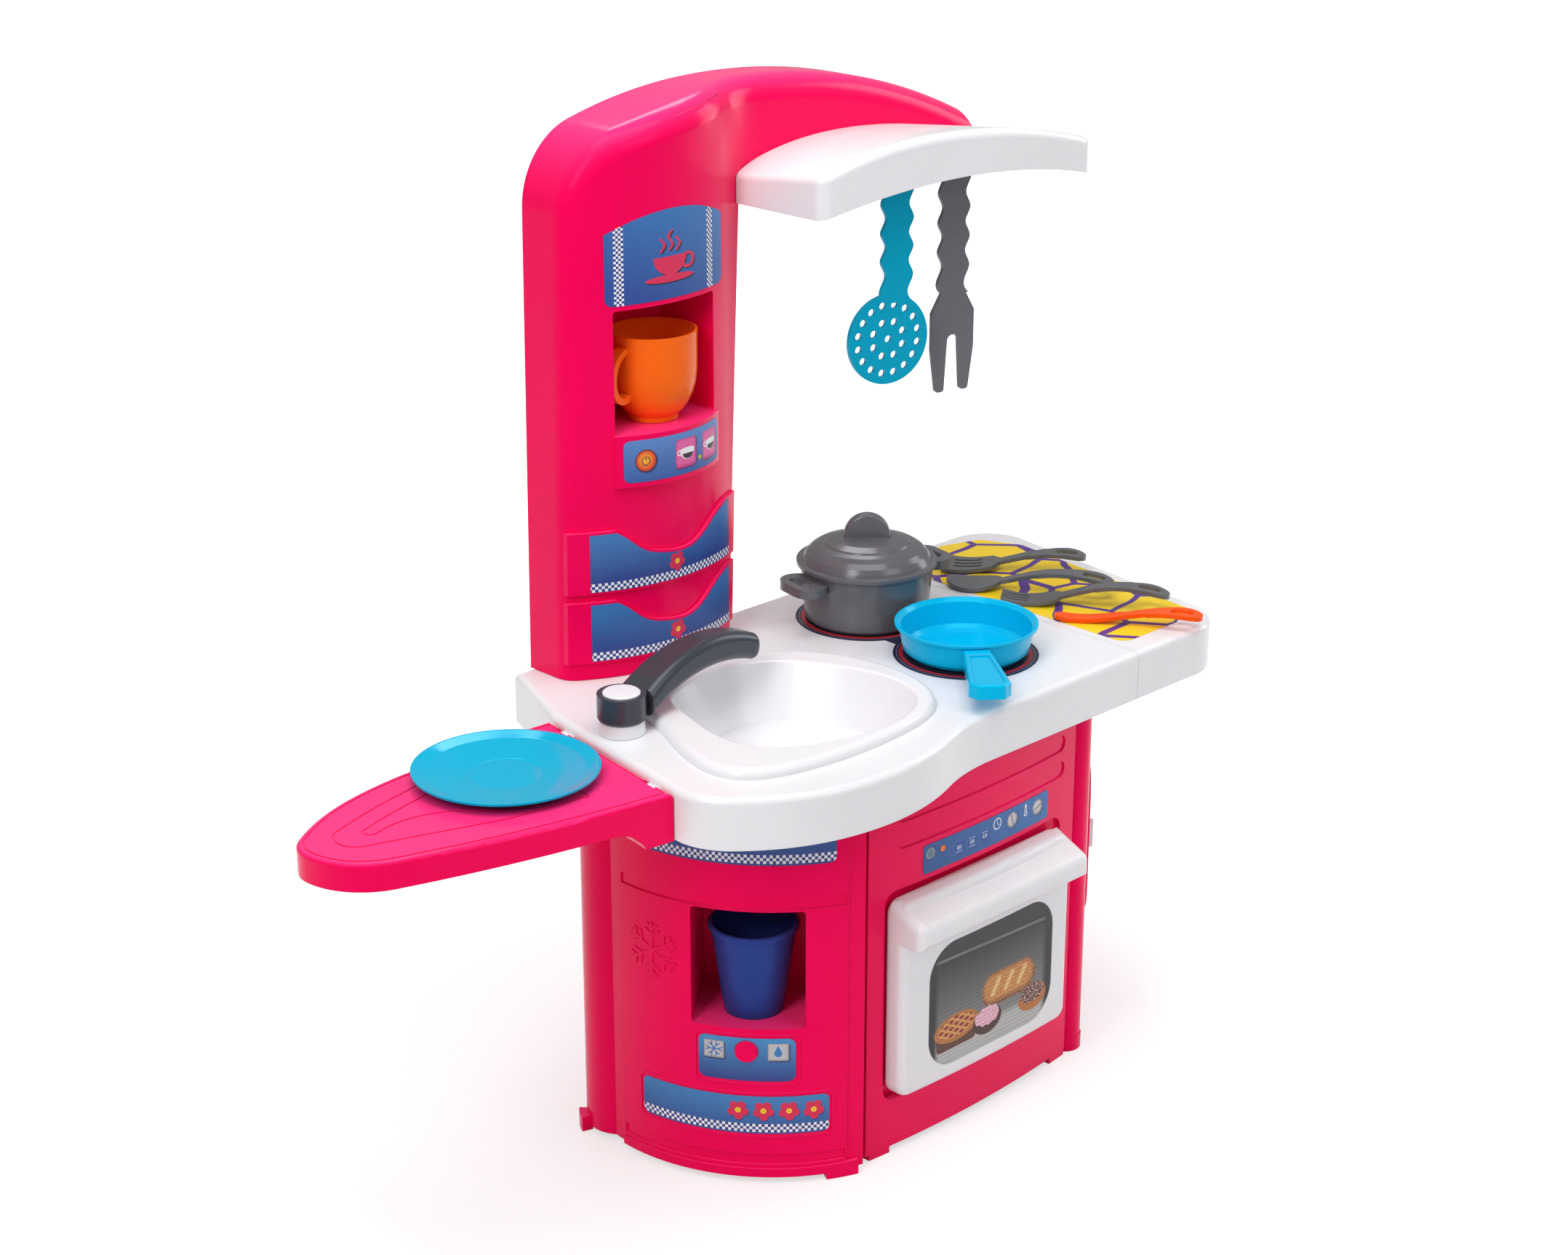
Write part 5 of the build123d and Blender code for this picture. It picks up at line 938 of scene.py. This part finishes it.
@dataclass
class Tower(Assembly):
    """The coffee tower with its two drawers, its stickers and the back cover."""

    middle: float = -0.00365
    flower_place: float = -0.00765
    control_axis: Spot = (-0.00565, 0.19252)
    control_radius: float = 0.100

    def coffee_print(self) -> Material:
        """The film over the niche: a steaming cup between two bands of checks."""
        tree = Tree("coffee_print")
        sheet = Front(self.middle).sheet(tree, middle_height("coffee_sticker"))
        sheet.shade((sheet.v * 0.012 + sheet.u * 0.004 + 0.5).clamped(), colour(30, 70, 150),
                    colour(52, 118, 184))
        for across in (-51.0, 43.0):
            sheet.checks(across - 4.0, 2.0, 4, along=sheet.v, up=sheet.u)
        for shift, tint in (((1.1, -1.2), colour(30, 22, 46)), ((0.0, 0.0), colour(222, 30, 84))):
            self._cup(sheet, (shift[0] - 4.0, shift[1] - 2.0), tint)
        return sheet.film()

    @staticmethod
    def _cup(sheet: Sheet, centre: Spot, tint: Colour) -> None:
        """A bowl-shaped cup with a handle, a saucer and three curls of steam."""
        x, y = centre
        bowl = sheet.oval((x, y), 17.0, 15.0).high(sheet.v - y)
        handle = abs(sheet.oval((x + 18.5, y - 5.5), 6.4, 5.4)) - 1.4
        saucer = sheet.oval((x, y - 17.6), 25.0, 3.0)
        sheet.lay(bowl.low(handle).low(saucer).mask(0.3), tint)
        for across, low, high in ((-8.0, 4.0, 15.0), (0.0, 5.0, 21.0), (8.0, 4.0, 15.0)):
            curl = abs(sheet.u - x - across + ((sheet.v - y) * 0.5).sine() * 2.0) - 1.3
            rise = abs(sheet.v - y - (low + high) / 2) - (high - low) / 2
            sheet.lay(curl.high(rise).mask(0.5), tint)

    def control_print(self) -> Material:
        """The film on the bulge: a power key, a lamp and two cup keys."""
        tree = Tree("coffee_control_print")
        sheet = Wrap(self.control_axis, self.control_radius, -90.0).sheet(
            tree, middle_height("coffee_control_sticker"))
        sheet.shade((sheet.v * 0.03 + 0.55).clamped(), colour(36, 84, 158), colour(84, 130, 196))
        self._power_key(sheet, (-35.0, 0.0))
        for across in (4.0, 36.0):
            self._cup_key(sheet, (across, 0.0))
        sheet.lay(sheet.disc((20.7, -8.0), 2.3).mask(), colour(90, 110, 20))
        sheet.lay(sheet.disc((20.5, -7.7), 1.7).mask(0.5), colour(196, 208, 40))
        return sheet.film()

    @staticmethod
    def _power_key(sheet: Sheet, centre: Spot) -> None:
        """A round key shaded from red to yellow, with the power mark."""
        x, y = centre
        sheet.lay(sheet.disc((x + 0.6, y - 0.8), 9.6).mask(1.2), colour(24, 34, 84))
        sheet.lay(sheet.disc(centre, 9.2).mask(), colour(112, 24, 20))
        sheet.lay(sheet.disc(centre, 8.2).mask(0.6), colour(226, 72, 24))
        sheet.lay(sheet.disc((x - 0.4, y + 0.6), 4.4).mask(6.0), colour(252, 176, 44))
        ring = (abs(sheet.disc((x, y - 0.4), 3.4)) - 0.4).high(
            -sheet.box((x, y + 3.0), (1.3, 2.2)))
        stroke = sheet.bar((x, y + 0.4), (x, y + 3.8), 0.8)
        sheet.lay(ring.low(stroke).mask(), colour(60, 24, 26))

    @staticmethod
    def _cup_key(sheet: Sheet, centre: Spot) -> None:
        """A pink key with a white cup of dark coffee."""
        x, y = centre
        sheet.lay(sheet.box((x + 0.6, y - 0.8), (12.0, 12.4), 3.4).mask(1.0), colour(70, 24, 92))
        sheet.lay(sheet.box(centre, (11.6, 12.0), 3.2).mask(), colour(198, 50, 130))
        sheet.lay(sheet.box((x - 0.6, y + 0.8), (10.2, 10.4), 2.8).mask(2.4),
                  colour(226, 96, 162))
        bowl = sheet.oval((x + 1.0, y + 2.6), 8.0, 8.2).high(sheet.v - (y + 2.6))
        rim = sheet.oval((x + 1.0, y + 2.6), 8.0, 1.7)
        ear = abs(sheet.disc((x - 7.6, y + 0.8), 2.0)) - 0.5
        sheet.lay(bowl.low(rim).low(ear).mask(0.2), colour(240, 238, 242))
        sheet.lay(sheet.oval((x + 1.6, y - 0.6), 6.0, 4.6).high(sheet.v - (y - 0.6)).mask(0.3),
                  colour(48, 34, 40))

    def drawer_print(self, node: str) -> Material:
        """One drawer's film: a flower on blue over checks.

        Args:
            node: The sticker's name.

        Returns:
            The material.
        """
        tree = Tree(node.replace("sticker", "print"))
        low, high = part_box(node)
        sheet = Front(self.flower_place).sheet(tree, (low[2] + high[2]) / 2)
        floor = (low[2] - high[2]) / 2 / MM
        cloud = tree.noise(tree.place(), 14.0, 2.0, 0.5)
        sheet.shade((sheet.v * 0.026 + cloud * 0.5 + 0.3).clamped(), colour(30, 50, 132),
                    colour(50, 116, 182))
        sheet.checks(floor + 0.2, 2.4, 3)
        sheet.flower((0.0, floor + 14.6), 8.6)
        return sheet.film()

    def build(self) -> None:
        """Dresses the shell, the cover and the films."""
        dress(self.finishes.pink, "tower_front_shell", "tower_back_cover")
        dress(self.coffee_print(), "coffee_sticker")
        dress(self.control_print(), "coffee_control_sticker")
        for node in ("drawer_lower_sticker", "drawer_upper_sticker"):
            dress(self.drawer_print(node), node)


@dataclass
class Hood(Assembly):
    """The cooker hood with its hooks and the two utensils that hang there."""

    def build(self) -> None:
        """Dresses the hood and what hangs from it."""
        dress(self.finishes.white, "hood_canopy", "utensil_hooks")
        dress(MouldedPlastic("skimmer_plastic", Paint.TEAL.value, 0.24).material(),
              "hanging_skimmer")
        dress(self.finishes.grey, "hanging_fork")


@dataclass
class SideTable(Assembly):
    """The hinged side table, the plate on it, and the tap beside it."""

    def build(self) -> None:
        """Dresses the table, the plate and the tap."""
        dress(self.finishes.pink, "side_table")
        dress(MouldedPlastic("plate_plastic", Paint.TURQUOISE.value, 0.08).material(), "plate")
        dress(self.finishes.dark_grey, "tap_spout")
        dress(self.finishes.white, "tap_post", "tap_cap")


@dataclass
class Cookware(Assembly):
    """The pot, its lid, the pan, the mug and the cup."""

    def build(self) -> None:
        """Dresses the loose cookware."""
        dress(self.finishes.grey, "cooking_pot", "pot_lid")
        dress(MouldedPlastic("pan_plastic", Paint.SKY.value, 0.16).material(), "frying_pan")
        dress(MouldedPlastic("mug_plastic", Paint.AMBER.value, 0.22, glow=0.15).material(),
              "coffee_mug")
        dress(MouldedPlastic("cup_plastic", Paint.VIOLET.value, 0.34, glow=0.1).material(),
              "drinking_cup")


@dataclass
class Cutlery(Assembly):
    """The spatula, spoon, fork and knife on the extension."""

    def build(self) -> None:
        """Dresses the cutlery."""
        dress(self.finishes.grey, "spatula", "spoon", "table_fork")
        dress(MouldedPlastic("knife_plastic", Paint.ORANGE.value, 0.3, glow=0.1).material(),
              "table_knife")


# ------------------------------------------------------------------------------ the room
@dataclass
class SoftLamp:
    """A rectangular softbox.

    Attributes:
        name: The lamp's name.
        place: Where it stands.
        aim: What it points at.
        size: Its width and height.
        power: Its power in watts.
    """

    name: str
    place: Point
    aim: Point
    size: Spot
    power: float

    def build(self) -> None:
        """Adds the lamp to the scene."""
        data = bpy.data.lights.new(self.name, "AREA")
        data.shape = "RECTANGLE"
        data.size, data.size_y = self.size
        data.energy = self.power
        lamp = bpy.data.objects.new(self.name, data)
        bpy.context.scene.collection.objects.link(lamp)
        away = Vector(self.aim) - Vector(self.place)
        turn = away.to_track_quat("-Z", "Y").to_matrix().to_4x4()
        lamp.matrix_world = Matrix.Translation(self.place) @ turn


@dataclass
class Studio:
    """The pale floor, the soft lamps and the camera."""

    eye: Point = (-1.52115, -1.55458, 1.2412)
    right: Point = (0.7108, -0.7034, 0.0)
    up: Point = (0.2487, 0.2513, 0.9354)
    lens: float = 66.79
    sensor: float = 36.0
    floor_reach: float = 7.0

    def camera(self) -> None:
        """Sets up the camera from its own right and up directions."""
        data = bpy.data.cameras.new("view")
        data.lens = self.lens
        data.sensor_fit = "HORIZONTAL"
        data.sensor_width = self.sensor
        data.clip_end = 50.0
        right = Vector(self.right).normalized()
        back = right.cross(Vector(self.up)).normalized()
        up = back.cross(right)
        camera = bpy.data.objects.new("view", data)
        bpy.context.scene.collection.objects.link(camera)
        turn = Matrix((right, up, back)).transposed().to_4x4()
        camera.matrix_world = Matrix.Translation(self.eye) @ turn
        bpy.context.scene.camera = camera

    def floor(self) -> None:
        """Lays a pale flat floor: a round sheet of rings that spread wider towards its edge."""
        turns, rings = 96, 8
        angle = np.linspace(0.0, 2 * np.pi, turns, endpoint=False)
        reach = np.linspace(0.0, 1.0, rings + 1)[1:] ** 2 * self.floor_reach
        around, away = np.meshgrid(angle, reach)
        ring = np.stack([away * np.cos(around), away * np.sin(around),
                         np.full_like(away, -0.0004)], axis=-1).reshape(-1, 3)
        points = np.vstack([[(0.0, 0.0, -0.0004)], ring])
        index = np.arange(rings * turns).reshape(rings, turns) + 1
        after = np.roll(index, -1, axis=1)
        quads = np.stack([index[:-1], index[1:], after[1:], after[:-1]], axis=-1).reshape(-1, 4)
        fan = np.stack([np.zeros(turns, int), index[0], after[0]], axis=-1)
        mesh = bpy.data.meshes.new("floor")
        mesh.from_pydata(points.tolist(), [], fan.tolist() + quads.tolist())
        mesh.update()
        sheet = bpy.data.objects.new("floor", mesh)
        bpy.context.scene.collection.objects.link(sheet)
        mesh.materials.append(self._paper())

    @staticmethod
    def _paper() -> Material:
        """White studio paper, lifted to white for what looks straight at it.

        The lift grows from its least value, near the kitchen, to white over the spread, so the
        kitchen's shadow stays and the far floor joins the backdrop.
        """
        tree = Tree("studio_paper")
        cloud = tree.noise(tree.place(), 3.0, 2.0, 0.5)
        path = tree.node("ShaderNodeLightPath", output="Is Camera Ray")
        paper = tree.mix(cloud, colour(236, 236, 237), colour(240, 240, 241))
        tint = tree.mix(path, paper, colour(176, 176, 177))
        gloss = tree.node("ShaderNodeLightPath", output="Is Glossy Ray")
        glass = tree.node("ShaderNodeLightPath", output="Is Transmission Ray")
        seen = (path + gloss * 0.4 + glass).clamped()
        x, y, _ = tree.parts(tree.place())
        start, spread = 0.35, 0.55
        least, extra = 0.42, 0.2
        far = (((x * x + y * y).root() - start) / spread).clamped()
        lift = seen * (least + far * (1.0 - least)) + path * extra
        return tree.finish(Base_Color=tint, Roughness=0.9, Specular_IOR_Level=0.0,
                           Emission_Color=tree.joined(lift, lift, lift), Emission_Strength=1.0)

    @staticmethod
    def backdrop(ambient: float = 0.3) -> None:
        """Sets a white backdrop that lights the room softly."""
        world = bpy.data.worlds.new("backdrop")
        world.use_nodes = True
        nodes = world.node_tree.nodes
        links = world.node_tree.links
        nodes.clear()
        path = nodes.new("ShaderNodeLightPath")
        seen = nodes.new("ShaderNodeMath")
        seen.operation = "MAXIMUM"
        shown = nodes.new("ShaderNodeBackground")
        soft = nodes.new("ShaderNodeBackground")
        shown.inputs["Strength"].default_value = 1.0
        shown.inputs["Color"].default_value = (1.0, 1.0, 1.0, 1.0)
        soft.inputs["Strength"].default_value = ambient
        soft.inputs["Color"].default_value = (1.0, 1.0, 1.0, 1.0)
        mixed = nodes.new("ShaderNodeMixShader")
        output = nodes.new("ShaderNodeOutputWorld")
        links.new(path.outputs["Is Camera Ray"], seen.inputs[0])
        links.new(path.outputs["Is Transmission Ray"], seen.inputs[1])
        links.new(seen.outputs[0], mixed.inputs[0])
        links.new(soft.outputs[0], mixed.inputs[1])
        links.new(shown.outputs[0], mixed.inputs[2])
        links.new(mixed.outputs[0], output.inputs[0])
        bpy.context.scene.world = world

    def build(self) -> None:
        """Sets the whole room."""
        self.camera()
        self.floor()
        self.backdrop()
        heart = (0.0, 0.0, 0.4)
        for lamp in (
            SoftLamp("top_softbox", (-0.2, -0.2, 2.6), heart, (2.0, 1.4), 32.0),
            SoftLamp("left_softbox", (-1.9, -0.5, 2.0), (0.0, 0.0, 0.75), (0.7, 1.5), 25.0),
            SoftLamp("front_softbox", (0.4, -2.2, 2.0), (0.0, 0.0, 0.5), (1.2, 1.0), 9.0),
            SoftLamp("rear_softbox", (0.95, 1.2, 2.1), heart, (0.9, 0.5), 7.0),
            SoftLamp("right_softbox", (2.4, -0.6, 1.2), heart, (0.8, 1.8), 14.0),
        ):
            lamp.build()
        bpy.context.scene.view_settings.view_transform = "Standard"


def main() -> None:
    """Sets the room, then dresses each assembly in turn."""
    logging.basicConfig(level=logging.INFO, format="%(name)s: %(message)s")
    Studio().build()
    finishes = Finishes()
    for assembly in (FridgeSide, OvenSide, WasherSide, Worktop, Tower, Hood, SideTable, Cookware,
                     Cutlery):
        assembly(finishes).build()


if __name__ == "__main__":
    main()
